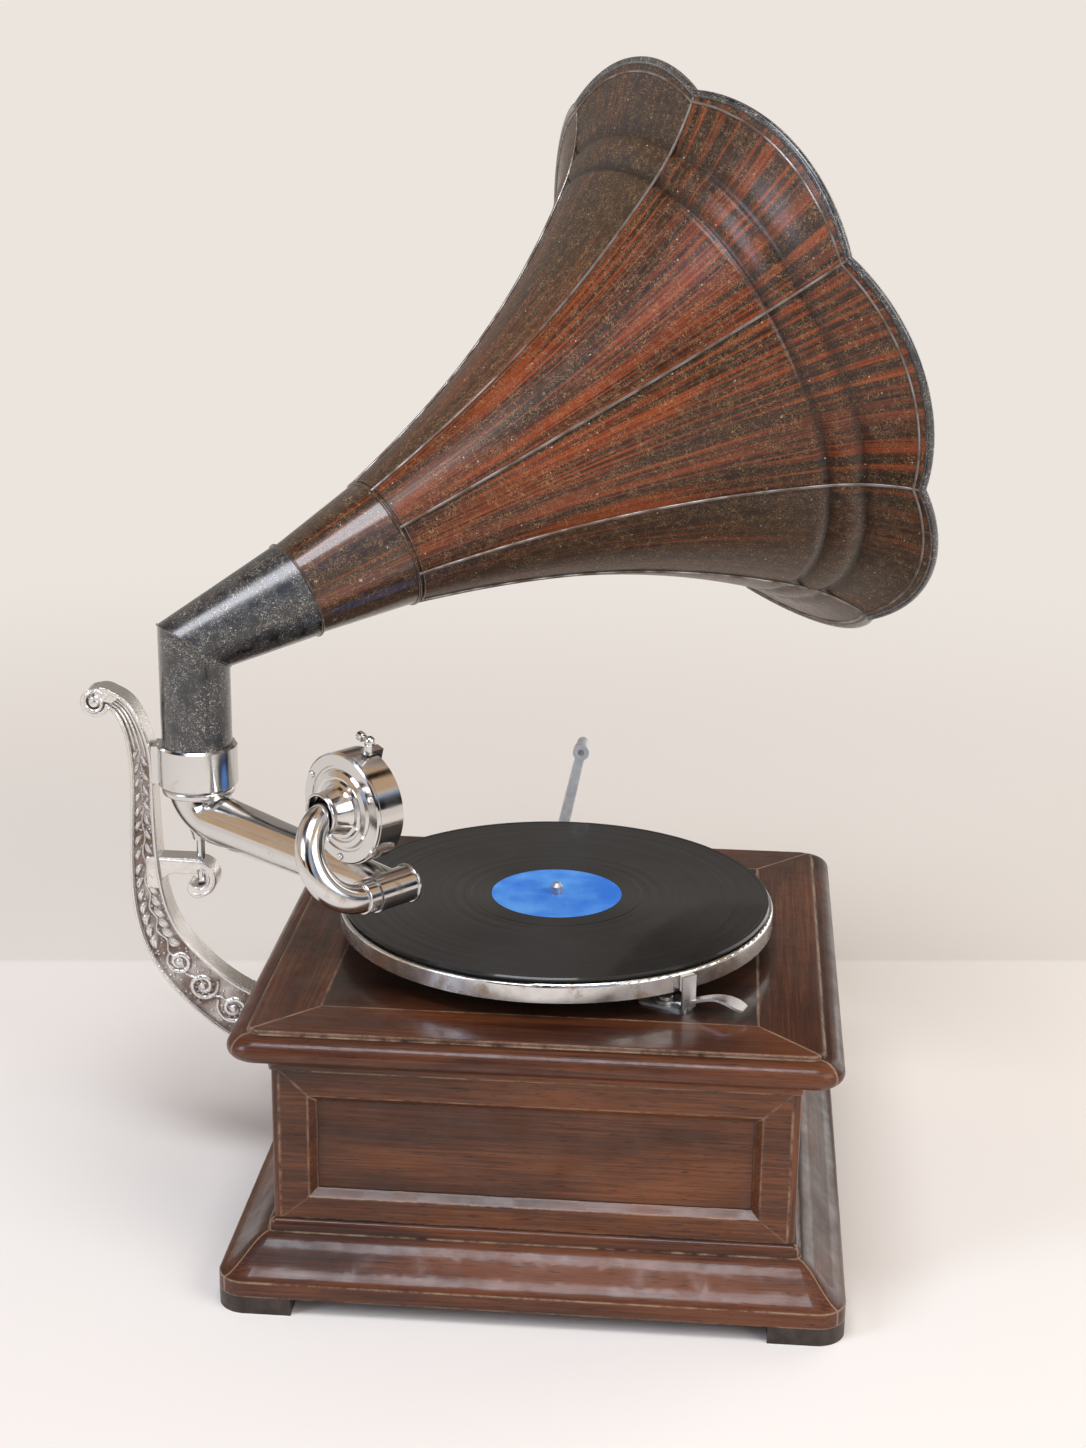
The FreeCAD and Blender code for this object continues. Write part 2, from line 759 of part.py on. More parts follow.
cross_bore = goose_radius + goose_fit
cross = cross_tube_axis
flange = rod(cross_radius + cross_rim, V(arm_length, cross_half - cross_rim_width, arm_height),
             V(arm_length, cross_half, arm_height))
flange = softened(flange, cross_rim_round, lambda e: e.BoundBox.YLength < 0.01)
cross = cross.fuse(flange)
cross = cross.cut(rod(cross_bore, V(arm_length, -cross_half - 1, arm_height),
                      V(arm_length, cross_half - cross_end, arm_height)))
window = cone(arm_root - tube_wall, arm_end - tube_wall - 1, V(bend_radius, 0, arm_height),
              V(arm_length, 0, arm_height))
cross = cross.cut(window)
save("arm_cross_tube", placed_arm(cross))


# Gooseneck and sound box, drawn on the cross tube axis (y) with the box above it, then tilted back
def placed_goose(shape):
    tilted = turned(shape, goose_tilt, V(0, 1, 0))
    return placed_arm(moved(tilted, arm_length, 0, arm_height))


def goose_solid(radius, start, end):
    low = rod(radius, V(0, start, 0), V(0, -goose_straight, 0))
    turn = goose_spacing / 2
    ring = Part.makeTorus(turn, radius, V(0, -goose_straight, turn), V(1, 0, 0))
    keep = box(-radius - 1, radius + 1, -goose_straight - turn - radius - 1, -goose_straight,
               -radius - 1, goose_spacing + radius + 1)
    high = rod(radius, V(0, -goose_straight, goose_spacing), V(0, end, goose_spacing))
    return low.fuse([ring.common(keep), high])


goose_in = cross_half - 3.0
back_y = box_back
goose_out = back_y - 1.0
goose = goose_solid(goose_radius, goose_in, goose_out)
sleeve_y = -cross_half - sleeve_gap
sleeve = rod(sleeve_radius, V(0, sleeve_y - sleeve_length, 0), V(0, sleeve_y, 0))
sleeve = softened(sleeve, 0.8, lambda e: e.BoundBox.YLength < 0.01)
goose = goose.fuse(sleeve)
goose = goose.cut(goose_solid(goose_radius - goose_wall, goose_in + 1, goose_out + 1))
key_y = sleeve_y - sleeve_length / 2
key_hole = rod(1.4, V(0, key_y, goose_radius - 2), V(0, key_y, 20))
goose = goose.cut(key_hole)
save("gooseneck", placed_goose(goose.removeSplitter()))

front_y = back_y + box_thick
flange_y = back_y + back_flange
lip_y = front_y - rim_lip


def box_lathe(profile):
    """Turn a profile of (radius, y) about the sound box axis."""
    shape = lathe([(r, h) for r, h in profile])
    return moved(turned(shape, -90, V(1, 0, 0)), 0, 0, goose_spacing)


def in_box(shape):
    return moved(shape, 0, 0, goose_spacing)


back_bore = goose_radius + goose_fit + bush_wall
hub_end = back_y - hub_length
# Rings turned on the back: share of the way from the hub to the edge, and depth
back_rings = [(0.6111, 0.0), (0.5778, 0.9), (0.5111, 0.9), (0.4556, -0.6), (0.3111, -1.4), (0.2556, -0.6),
              (0.2, -0.6), (0.1444, -1.8)]
plate_profile = [(back_bore, flange_y), (box_radius - 0.4, flange_y), (box_radius - 0.4, back_y + 0.6),
                 (box_radius - 1.2, back_y)]
plate_profile += [(hub_root + (box_radius - hub_root) * out, back_y + depth) for out, depth in back_rings]
plate_profile += [(hub_root + 0.6, back_y - 2.4), (hub_root - 0.6, back_y - 3.2),
                  (hub_mouth + 0.3, hub_end + 1.0), (hub_mouth, hub_end), (back_bore, hub_end)]
back_plate = box_lathe(plate_profile)
seat_y = lip_y - 2 * gasket_thick - diaphragm_thick
rim = box_lathe([(rim_bore, flange_y), (box_radius, flange_y), (box_radius, front_y - 1.0),
                 (box_radius - 1.0, front_y), (rim_lip_bore + 1.2, front_y), (rim_lip_bore, front_y - 1.2),
                 (rim_lip_bore, lip_y), (rim_bore, lip_y)])
spacer = box_lathe([(rim_bore - gasket_width, flange_y), (rim_bore - 0.1, flange_y),
                    (rim_bore - 0.1, seat_y), (rim_bore - gasket_width, seat_y)])
back_plate = back_plate.fuse(spacer)
box_screws = []
for angle in (25, 150, 268):
    turn = math.radians(angle + goose_tilt)
    centre = V(back_screw_circle * math.cos(turn), 0, back_screw_circle * math.sin(turn))
    hole = in_box(rod(box_screw_radius, centre + V(0, back_y - 1, 0), centre + V(0, flange_y + 4, 0)))
    back_plate = back_plate.cut(hole)
    rim = rim.cut(hole)
    shank = rod(box_screw_radius, centre + V(0, back_y, 0), centre + V(0, flange_y + 3.8, 0))
    head = rod(box_screw_head, centre + V(0, back_y - box_screw_head_thick, 0), centre + V(0, back_y, 0))
    head = softened(head, 0.8, lambda e: e.BoundBox.YMax < back_y - box_screw_head_thick + 0.1)
    box_screws.append(in_box(shank.fuse(head)))
gasket_in = rim_bore - gasket_width
gasket_out = rim_bore - 0.1
disc_y0 = seat_y + gasket_thick
disc_y1 = disc_y0 + diaphragm_thick
gaskets = [box_lathe([(gasket_in, low), (gasket_out, low), (gasket_out, high), (gasket_in, high)])
           for low, high in ((seat_y, disc_y0), (disc_y1, lip_y))]
diaphragm = box_lathe([(0, disc_y0), (gasket_out, disc_y0), (gasket_out, disc_y1), (0, disc_y1)])
bush_y = back_y - hub_length + 0.6
bush = box_lathe([(goose_radius + goose_fit, bush_y), (back_bore - 0.03, bush_y),
                  (back_bore - 0.03, flange_y), (goose_radius + goose_fit, flange_y)])

lean = math.radians(needle_lean)
needle_way = V(math.cos(lean), 0, math.sin(lean))
across = V(-math.sin(lean), 0, math.cos(lean))
bar_y = front_y + 0.4
foot_pin = rod(1.3, V(0, disc_y1, 0), V(0, bar_y + 1.0, 0))
bar = prism([across * -1.6 - needle_way * 2.0 + V(0, bar_y, 0),
             across * 1.6 - needle_way * 2.0 + V(0, bar_y, 0),
             across * 2.6 + needle_way * (box_radius + 3) + V(0, bar_y, 0),
             across * -2.6 + needle_way * (box_radius + 3) + V(0, bar_y, 0)], V(0, 2.2, 0))
stem_y = (flange_y + front_y) / 2 + 2.0
yoke = prism([across * -2.6 + needle_way * (box_radius + 0.4) + V(0, stem_y - 2.6, 0),
              across * 2.6 + needle_way * (box_radius + 0.4) + V(0, stem_y - 2.6, 0),
              across * 2.6 + needle_way * (box_radius + 3) + V(0, stem_y - 2.6, 0),
              across * -2.6 + needle_way * (box_radius + 3) + V(0, stem_y - 2.6, 0)],
             V(0, bar_y - stem_y + 2.8, 0))
stem = cone(holder_root, holder_end, needle_way * (box_radius + 1) + V(0, stem_y, 0),
            needle_way * holder_reach + V(0, stem_y, 0))
ball = Part.makeSphere(holder_ball, needle_way * holder_reach + V(0, stem_y, 0))
stem_at = V(0, stem_y, 0)
socket = rod(0.8, needle_way * (holder_reach - 3) + stem_at, needle_way * (holder_reach + 6) + stem_at)
thumb_at = needle_way * (holder_reach - 0.4) + V(0, stem_y, 0)
thumb_hole = rod(1.05, thumb_at, thumb_at + across * 8)
stylus = foot_pin.fuse([bar, yoke, stem, ball]).cut(socket).cut(thumb_hole)
thumb = rod(1.0, thumb_at + across * 1.0, thumb_at + across * (thumb_reach - 3))
knob = rod(thumb_radius, thumb_at + across * (thumb_reach - 4), thumb_at + across * thumb_reach)
knob = softened(knob, 0.6, lambda e: e.Curve.TypeId == "Part::GeomCircle")
thumb = thumb.fuse(knob)
save("soundbox_back", placed_goose(back_plate.removeSplitter()))
save("soundbox_rim", placed_goose(rim))
save("soundbox_screws", *[placed_goose(shape) for shape in box_screws])
save("soundbox_gaskets", *[placed_goose(shape) for shape in gaskets])
save("diaphragm", placed_goose(diaphragm))
save("throat_bush", placed_goose(bush))
save("stylus_bar", placed_goose(in_box(stylus.removeSplitter())))
save("needle_screw", placed_goose(in_box(thumb)))


# Horn, drawn along +z from the bend, then laid over and turned
def placed_horn(shape):
    laid = turned(turned(shape, 90 - horn_rise, V(0, 1, 0)), horn_turn)
    return moved(laid, pivot_x, 0, horn_bend)


rise = math.radians(horn_rise)
axis_out = V(math.cos(rise), 0, math.sin(rise))
mitre = (up + axis_out).normalize()


def loop(points):
    curve = Part.BSplineCurve()
    curve.interpolate(points, PeriodicFlag=True)
    return Part.Wire(curve.toShape())


elbow_reach = 10 * elbow_radius


def elbow_pair(shrink):
    """Vertical stub and flared branch of the elbow, meeting on the mitre plane at the origin."""
    radius = elbow_radius - shrink
    cut_ring = []
    end_ring = []
    for k in range(16):
        turn = 2 * math.pi * k / 16
        spoke = V(math.cos(turn), math.sin(turn), 0)
        drop = -(spoke * radius).dot(mitre) / up.dot(mitre)
        cut_ring.append(spoke * radius + up * drop)
        mirrored = spoke - mitre * (2 * spoke.dot(mitre))
        end_ring.append(axis_out * ring_one + mirrored * (ring_one_radius - shrink))
    branch = Part.makeLoft([loop(cut_ring), loop(end_ring)], True, True)
    foot = shoulder_z + elbow_seat - horn_bend
    stub = rod(radius, V(0, 0, foot), V(0, 0, 2 * elbow_radius))
    half_space = Part.makeBox(2 * elbow_reach, 2 * elbow_reach, elbow_reach, V(-elbow_reach, -elbow_reach, 0))
    half_space.Placement = FreeCAD.Placement(origin, FreeCAD.Rotation(up, mitre))
    stub = stub.cut(half_space)
    return stub, branch


outer_stub, outer_branch = elbow_pair(0)
inner_stub, inner_branch = elbow_pair(horn_wall)
lower_half = outer_stub.cut(inner_stub)
open_end = rod(elbow_radius - horn_wall, V(0, 0, -elbow_reach), V(0, 0, -1.5 * elbow_radius))
lower_half = lower_half.cut(open_end)
upper_half = outer_branch.cut(inner_branch)
elbow_halves = [turned(half, horn_turn) for half in (lower_half, upper_half)]
save("horn_elbow", *[moved(half, pivot_x, 0, horn_bend) for half in elbow_halves])

neck_start = ring_one_radius - joint_step
neck = lathe([(neck_start - horn_wall, ring_one), (neck_start, ring_one), (ring_two_radius, ring_two),
              (ring_two_radius - horn_wall, ring_two)])
save("horn_neck", placed_horn(neck))

throat = ring_two_radius - joint_step


def lobe_share(run):
    """How far the lobes have opened at this distance from the throat."""
    late = max(0.0, run - bell_length + lobe_run) / lobe_run
    return late ** lobe_power


def bell_radius(run, mouth):
    share = run / bell_length
    plain = throat + bell_taper * share + bell_flare * share ** bell_power
    plain_mouth = throat + bell_taper + bell_flare
    return plain + (mouth - plain_mouth) * lobe_share(run)


def bell_pitch(run):
    """Slope angle of the bell wall at a seam."""
    step = 0.5
    low = max(run - step, 0.0)
    high = min(run + step, bell_length)
    return math.atan((bell_radius(high, mouth_seam) - bell_radius(low, mouth_seam)) / (high - low))


stations = [bell_length * (1 - (1 - k / 11) ** 1.5) for k in range(12)]
half_petal = math.radians(180 / petals)


def spoke(angle, radius, height):
    return V(radius * math.cos(angle), radius * math.sin(angle), height)


def petal_arc(run, inset):
    """Three points across a petal, the middle one reaching forward as the lobe opens."""
    seam = bell_radius(run, mouth_seam)
    lobe = bell_radius(run, mouth_lobe)
    seam_x = seam * math.cos(half_petal)
    tilt = lobe_reach * lobe_share(run) / (lobe - seam_x)
    points = []
    for angle, radius in ((-half_petal, seam - inset), (0, lobe - inset), (half_petal, seam - inset)):
        forward = (radius * math.cos(angle) - seam_x) * tilt
        points.append(spoke(angle, radius, ring_two + run + forward))
    return points


def petal_ring(run):
    outer = petal_arc(run, 0)
    inner = petal_arc(run, horn_wall / math.cos(bell_pitch(run)))
    edges = [Part.Arc(*outer).toShape(), Part.makeLine(outer[2], inner[2]),
             Part.Arc(inner[2], inner[1], inner[0]).toShape(), Part.makeLine(inner[0], outer[0])]
    return Part.Wire(edges)


petal = Part.makeLoft([petal_ring(run) for run in stations], True, False)
petal_turns = [seam_angle + 360 / petals * (k + 0.5) for k in range(petals)]
save("horn_petals", *[placed_horn(turned(petal, turn)) for turn in petal_turns])


def rib_ring(run):
    pitch = bell_pitch(run)
    out = V(math.cos(pitch), 0, -math.sin(pitch))
    centre = V(bell_radius(run, mouth_seam), 0, ring_two + run) + out * (rib_radius + rib_lift)
    points = []
    for k in range(6):
        turn = math.pi * k / 3
        points.append(centre + out * (rib_radius * math.cos(turn)) + V(0, rib_radius * math.sin(turn), 0))
    return Part.makePolygon(points + [points[0]])


rib = Part.makeLoft([rib_ring(run) for run in stations], True, False)
save("horn_seams", *[placed_horn(turned(rib, seam_angle + 360 / petals * k)) for k in range(petals)])

wall_mouth = horn_wall / math.cos(bell_pitch(bell_length))
lip_line = Part.Arc(*petal_arc(bell_length, wall_mouth / 2)).toShape().Curve
lip_axis = lip_line.Axis if lip_line.Axis.z > 0 else -lip_line.Axis
lip_points = petal_arc(bell_length, wall_mouth / 2)
lip_mid = (lip_points[1] - lip_line.Center).normalize()
lip_end = (lip_points[2] - lip_line.Center).normalize()
lip_half = math.degrees(lip_mid.getAngle(lip_end)) + bead_overrun
bead_centre = lip_line.Center + lip_axis * rim_bead
bead_ring = Part.makeCircle(rim_bead, bead_centre + lip_mid * lip_line.Radius, lip_axis.cross(lip_mid))
bead_face = turned(Part.Face(Part.Wire(bead_ring)), -lip_half, lip_axis, bead_centre)
roll = bead_face.revolve(bead_centre, lip_axis, 2 * lip_half)
near_edge = mouth_seam * 0.7
far_edge = mouth_lobe * 1.4
sector_z = ring_two + bell_length - 4 * rim_bead
sector_corners = [spoke(-half_petal, near_edge, sector_z), spoke(-half_petal, far_edge, sector_z),
                  spoke(half_petal, far_edge, sector_z), spoke(half_petal, near_edge, sector_z)]
sector = prism(sector_corners, V(0, 0, lobe_reach + 10 * rim_bead))
roll = max(roll.common(sector).Solids, key=lambda s: s.Volume)
save("horn_rim", *[placed_horn(turned(roll, turn)) for turn in petal_turns])

# Brake on the motor board
plate_top = top_z + brake_plate_thick
lever_z = plate_top + brake_gap
base = box(-brake_plate_length / 2, brake_plate_length / 2, -brake_plate_width / 2, brake_plate_width / 2,
           top_z, plate_top)
base = softened(base, 4.0, lambda e: e.BoundBox.ZLength > brake_plate_thick - 0.1)
base = moved(turned(base, -20), brake_x, brake_y, 0)
pivot_hole = rod(brake_pin, V(brake_x, brake_y, top_z - 1), V(brake_x, brake_y, plate_top + 1))
save("brake_base", base.cut(pivot_hole))
lever_top = lever_z + brake_strip
stud = rod(brake_pin, V(brake_x, brake_y, top_z), V(brake_x, brake_y, lever_top + brake_gap))
head_z = lever_top + brake_gap
stud_head = rod(brake_head, V(brake_x, brake_y, head_z), V(brake_x, brake_y, head_z + 1.8))
stud_head = softened(stud_head, 0.7, lambda e: e.BoundBox.ZMin > lever_top + 1.9)
save("brake_pivot", stud.fuse(stud_head))


def strip_ring(point, run, width, thick):
    ahead = V(run.x, run.y, run.z).normalize()
    side = up.cross(ahead).normalize()
    above = ahead.cross(side)
    corners = [point + side * (width / 2) + above * thick, point - side * (width / 2) + above * thick,
               point - side * (width / 2), point + side * (width / 2)]
    return Part.makePolygon(corners + [corners[0]])


lever_turn = -20.0
spoon_rise = 6.5
lever_path = [(0.0, 0.0, 7.0), (0.2, 0.1, 6.4), (0.42, 0.55, 6.0), (0.62, 1.0, 7.0),
              (0.82, 0.95, spoon_width), (1.0, 0.5, spoon_width * 0.72)]
rings = []
for k, (share, lift, width) in enumerate(lever_path):
    ahead = lever_path[min(k + 1, len(lever_path) - 1)]
    behind = lever_path[max(k - 1, 0)]
    run = V((ahead[0] - behind[0]) * spoon_reach, 0, (ahead[1] - behind[1]) * spoon_rise)
    rings.append(strip_ring(V(share * spoon_reach, 0, lift * spoon_rise), run, width, brake_strip))
lever = Part.makeLoft(rings, True, False)
lever = moved(turned(lever, lever_turn), brake_x, brake_y, lever_z)
lever_eye = rod(brake_eye, V(brake_x, brake_y, lever_z), V(brake_x, brake_y, lever_top))
pad_turn = math.radians(pad_angle)
pad_face = rim_radius + pad_clear
tab_z = rim_z + rim_height / 2 + pad_height / 2


def at_pad(shape):
    return turned(shape, pad_angle)


tab = at_pad(box(pad_face + pad_thick, pad_face + pad_thick + tab_thick, -pad_width / 2, pad_width / 2,
                 lever_z, tab_z))
foot_x = brake_x * math.cos(pad_turn) + brake_y * math.sin(pad_turn)
tab_back = pad_face + pad_thick + tab_thick
tab_foot = at_pad(box(foot_x - 1, tab_back, -pad_width / 2, pad_width / 2, lever_z, lever_top))
lever = lever.fuse([lever_eye, tab, tab_foot])
lever_bore = brake_pin + brake_gap / 2
lever = lever.cut(rod(lever_bore, V(brake_x, brake_y, lever_z - 1), V(brake_x, brake_y, lever_top + 3)))
save("brake_lever", lever.removeSplitter())
pad_low = rim_z + rim_height / 2 - pad_height / 2
pad = box(pad_face, pad_face + pad_thick, -pad_width / 2, pad_width / 2, pad_low, tab_z)
pad = softened(pad, pad_round, lambda e: e.BoundBox.XMax < pad_face + 0.1
               and e.BoundBox.ZLength > pad_height - 0.1)
save("brake_pad", at_pad(pad))


# Crank on the right side of the case
def on_crank(shape):
    return moved(shape, crank_x, 0, crank_z)


bush_end = case_half + bush_flange_thick
bush_tube = rod(bush_radius, V(0, frame_back, 0), V(0, bush_end, 0))
bush_ring = rod(bush_flange, V(0, case_half, 0), V(0, bush_end, 0))
bush_bore = rod(crank_shaft_radius + crank_fit, V(0, 0, 0), V(0, bush_end + 1, 0))
save("crank_bush", on_crank(bush_tube.fuse(bush_ring).cut(bush_bore)))
bar_out = crank_plane + crank_bar_thick
lean_turn = math.radians(crank_lean)
bar_way = V(math.sin(lean_turn), 0, math.cos(lean_turn))
bar_side = V(math.cos(lean_turn), 0, -math.sin(lean_turn))
tip = bar_way * crank_length
corner_points = [bar_side * (crank_bar_root / 2), tip + bar_side * (crank_bar_end / 2),
                 tip - bar_side * (crank_bar_end / 2), bar_side * (-crank_bar_root / 2)]
bar = moved(prism(corner_points, V(0, crank_bar_thick, 0)), 0, crank_plane, 0)
bar = softened(bar, 1.2, lambda e: e.BoundBox.YLength < 0.01)
hub = rod(crank_hub, V(0, crank_plane - 5, 0), V(0, bar_out, 0))
eye = rod(grip_flange, V(tip.x, crank_plane, tip.z), V(tip.x, bar_out, tip.z))
arm_bore = rod(crank_shaft_radius, V(0, crank_plane - 10, 0), V(0, bar_out - 1.5, 0))
pin_bore = rod(grip_pin, V(tip.x, crank_plane - 1, tip.z), V(tip.x, bar_out + 1, tip.z))
crank_bar = bar.fuse([hub, eye]).cut(arm_bore).cut(pin_bore)
grip_stud = rod(grip_pin, V(tip.x, crank_plane, tip.z), V(tip.x, bar_out + grip_length - 3, tip.z))
save("crank_arm", on_crank(crank_bar.removeSplitter()))
save("grip_stud", on_crank(grip_stud))
grip_start = bar_out + grip_gap
grip = rod(grip_radius, V(tip.x, grip_start, tip.z), V(tip.x, bar_out + grip_length, tip.z))
grip = softened(grip, grip_round, lambda e: e.BoundBox.YMin > bar_out + grip_length - 0.1)
grip_ring = rod(grip_flange, V(tip.x, grip_start, tip.z), V(tip.x, grip_start + grip_flange_thick, tip.z))
grip_ring = softened(grip_ring, 0.6, lambda e: e.BoundBox.YLength < 0.01)
bore_end = bar_out + grip_length - 2.5
grip_bore = rod(grip_pin + crank_fit, V(tip.x, bar_out - 1, tip.z), V(tip.x, bore_end, tip.z))
save("crank_grip", on_crank(grip.fuse(grip_ring).cut(grip_bore)))


# Spring motor under the board
def gear_outline(teeth, module, share, scale=1.0, height=0.0):
    """Corner points of a toothed wheel, first tooth on the x axis."""
    pitch_radius = module * teeth / 2
    half = share * math.pi * module / 2
    lean = math.tan(math.radians(20))
    tip = pitch_radius + addendum * module
    root = pitch_radius - dedendum * module
    tip_half = (half - addendum * module * lean) / tip
    root_half = (half + dedendum * module * lean) / root
    points = []
    for k in range(teeth):
        middle = 2 * math.pi * k / teeth
        for radius, angle in ((root, -root_half), (tip, -tip_half), (tip, tip_half), (root, root_half)):
            points.append(spoke(middle + angle, radius * scale, height))
    return points


def gear(teeth, module, face, turn):
    return turned(prism(gear_outline(teeth, module, tooth_share), V(0, 0, face)), turn)


def bevel_gear(turn):
    """Mitre gear with its cone point at the origin, back face up at the pitch radius."""
    module = 2 * bevel_pitch / bevel_teeth
    rings = []
    for scale in (1.0, 1.0 - bevel_face):
        points = gear_outline(bevel_teeth, module, bevel_share, scale, bevel_pitch * scale)
        rings.append(Part.makePolygon(points + [points[0]]))
    return turned(Part.makeLoft(rings, True, True), turn)


barrel_at = V(barrel_x, barrel_y, 0)
barrel_pitch = gear_module * barrel_teeth / 2
wheel_pitch = gear_module * wheel_teeth / 2
pinion_pitch = gear_module * pinion_teeth / 2
first_span = barrel_pitch + pinion_pitch
second_span = wheel_pitch + pinion_pitch
apart = barrel_at.Length
along = (second_span ** 2 - first_span ** 2 + apart ** 2) / (2 * apart)
aside = math.sqrt(second_span ** 2 - along ** 2)
toward = V(barrel_at.x, barrel_at.y, 0).normalize()
middle_at = toward * along + V(toward.y, -toward.x, 0) * aside
half_tooth = 180 / pinion_teeth


def heading(start, end):
    return math.degrees(math.atan2(end.y - start.y, end.x - start.x))


def at(shape, place, z):
    return moved(shape, place.x, place.y, z)


barrel_z = motor_low + 1.5
barrel_top = barrel_z + barrel_height
teeth_z = barrel_top - gear_face
to_middle = heading(barrel_at, middle_at)
drum = lathe([(arbor_radius + arbor_fit, barrel_top - 2), (barrel_radius - barrel_wall, barrel_top - 2),
              (barrel_radius - barrel_wall, barrel_z), (barrel_radius, barrel_z), (barrel_radius, barrel_top),
              (arbor_radius + arbor_fit, barrel_top)])
crown = gear(barrel_teeth, gear_module, gear_face, to_middle)
crown = crown.cut(rod(barrel_radius - 0.5, V(0, 0, -1), V(0, 0, gear_face + 1)))
barrel = at(drum, barrel_at, 0).fuse(at(crown, barrel_at, teeth_z))
save("spring_barrel", barrel.removeSplitter())

spring_out = barrel_radius - barrel_wall - 0.3
spring_in = arbor_radius + spring_gap
spring_low = barrel_z + 1.5
spring_high = barrel_top - 3.0


def spiral(offset):
    points = []
    for k in range(spring_turns * 12 + 1):
        radius = spring_in + (spring_out - spring_strip - spring_in) * k / (spring_turns * 12) + offset
        points.append(spoke(2 * math.pi * k / 12, radius, 0))
    curve = Part.BSplineCurve()
    curve.interpolate(points)
    return curve.toShape(), points


inner_edge, inner_points = spiral(0)
outer_edge, outer_points = spiral(spring_strip)
spring_ends = [Part.makeLine(inner_points[k], outer_points[k]) for k in (0, -1)]
spring_wire = Part.Wire(Part.sortEdges([inner_edge, outer_edge] + spring_ends)[0])
mainspring = Part.Face(spring_wire).extrude(V(0, 0, spring_high - spring_low))
save("mainspring", at(mainspring, barrel_at, spring_low))

arbor_low = motor_low - plate_motor
arbor_high = board_z - board_gap
arbor = rod(arbor_radius, V(0, 0, arbor_low), V(0, 0, arbor_high))
bevel_wheel = turned(bevel_gear(0), 180, V(1, 0, 0))
bevel_wheel = turned(bevel_wheel, 90 + 180 / bevel_teeth)
bevel_wheel = moved(bevel_wheel, 0, 0, crank_z)
save("winding_arbor", at(arbor.fuse(bevel_wheel), barrel_at, 0))
bevel_pinion = turned(bevel_gear(0), -90, V(1, 0, 0))
bevel_pinion = moved(turned(bevel_pinion, 90, V(0, 1, 0)), crank_x, barrel_y, crank_z)
shaft_start = V(crank_x, barrel_y + bevel_pitch * 0.8, crank_z)
shaft = rod(crank_shaft_radius, shaft_start, V(crank_x, bar_out - 1.5, crank_z))
save("crank_shaft", shaft.fuse(bevel_pinion))

wheel_z = crank_z + 10.0
middle_radius = 3.0
to_barrel = heading(middle_at, barrel_at)
to_spindle = heading(middle_at, origin)
middle_arbor = rod(middle_radius, V(0, 0, arbor_low), V(0, 0, arbor_high))
middle_pinion = gear(pinion_teeth, gear_module, gear_face + 2, to_barrel + half_tooth)
middle_wheel = gear(wheel_teeth, gear_module, gear_face, to_spindle)
middle = middle_arbor.fuse([moved(middle_pinion, 0, 0, teeth_z - 1), moved(middle_wheel, 0, 0, wheel_z)])
save("intermediate_wheel", at(middle, middle_at, 0))
spindle_pinion = gear(pinion_teeth, gear_module, gear_face + 2, to_spindle + 180 + half_tooth)
spindle_hole = rod(spindle_radius, V(0, 0, 0), V(0, 0, record_z))
spindle_pinion = moved(spindle_pinion, 0, 0, wheel_z - 1).cut(spindle_hole)

# Governor: a screw-cut shaft across the spindle wheel, three weights on leaf springs and a friction disc
wheel_reach = governor_distance - worm_radius
governor_module = 2 * wheel_reach / governor_wheel_teeth
lead = math.pi * governor_module * governor_starts
twist = math.degrees(lead / (2 * math.pi * worm_radius) / wheel_reach)
rings = []
for end in (-0.5, 0.5):
    points = gear_outline(governor_wheel_teeth, governor_module, bevel_share, 1.0, end * governor_wheel_face)
    ring = Part.makePolygon(points + [points[0]])
    rings.append(turned(ring, -90 - twist * end * governor_wheel_face))
governor_wheel = moved(Part.makeLoft(rings, True, True), 0, 0, governor_height).cut(spindle_hole)
save("spindle_gears", spindle_pinion, governor_wheel)


def on_governor(shape):
    """From a shaft drawn along z, its wheel side on +x, to its place across the spindle."""
    return moved(turned(shape, 120, V(1, 1, 1)), 0, -governor_distance, governor_height)


governor_low = -32.0
governor_high = 72.0
collar_at = 22.0
disc_at = 56.0
screw_core = worm_radius - worm_depth - 0.2
helix = Part.makeHelix(lead, worm_length, screw_core)
thread_ring = Part.makePolygon([V(screw_core - 0.4, 0, -0.85), V(worm_radius + worm_depth, 0, -0.3),
                                V(worm_radius + worm_depth, 0, 0.3), V(screw_core - 0.4, 0, 0.85),
                                V(screw_core - 0.4, 0, -0.85)])
thread = Part.Wire(helix).makePipeShell([thread_ring], True, True)
thread = moved(turned(thread, -180 * worm_length / lead), 0, 0, -worm_length / 2)
threads = [turned(thread, 360 / governor_starts * k) for k in range(governor_starts)]
screw = rod(screw_core, V(0, 0, -worm_length / 2 - 1), V(0, 0, worm_length / 2 + 1)).fuse(threads)
governor = rod(governor_shaft_radius, V(0, 0, governor_low), V(0, 0, governor_high))
fixed_collar = rod(weight_radius, V(0, 0, collar_at), V(0, 0, collar_at + 4))
friction_disc = rod(governor_disc, V(0, 0, disc_at), V(0, 0, disc_at + 2.5))
disc_hub = rod(weight_radius, V(0, 0, disc_at - 5), V(0, 0, disc_at + 2.5))
governor = governor.fuse([screw, fixed_collar, friction_disc, disc_hub])
save("governor_shaft", on_governor(governor))
weight_mid = (collar_at + 4 + disc_at - 5) / 2
leaf_low = collar_at + 0.5
leaf_high = disc_at - 1.0
leaf = Part.Arc(V(weight_radius + 0.1, -2, leaf_low), V(weight_orbit, -2, weight_mid),
                V(weight_radius + 0.1, -2, leaf_high)).toShape()
leaf_back = Part.Arc(V(weight_radius + 0.7, -2, leaf_low), V(weight_orbit + 0.6, -2, weight_mid),
                     V(weight_radius + 0.7, -2, leaf_high)).toShape()
leaf_x = weight_radius + 0.1
leaf_ends = [Part.makeLine(V(leaf_x, -2, z), V(leaf_x + 0.6, -2, z)) for z in (leaf_low, leaf_high)]
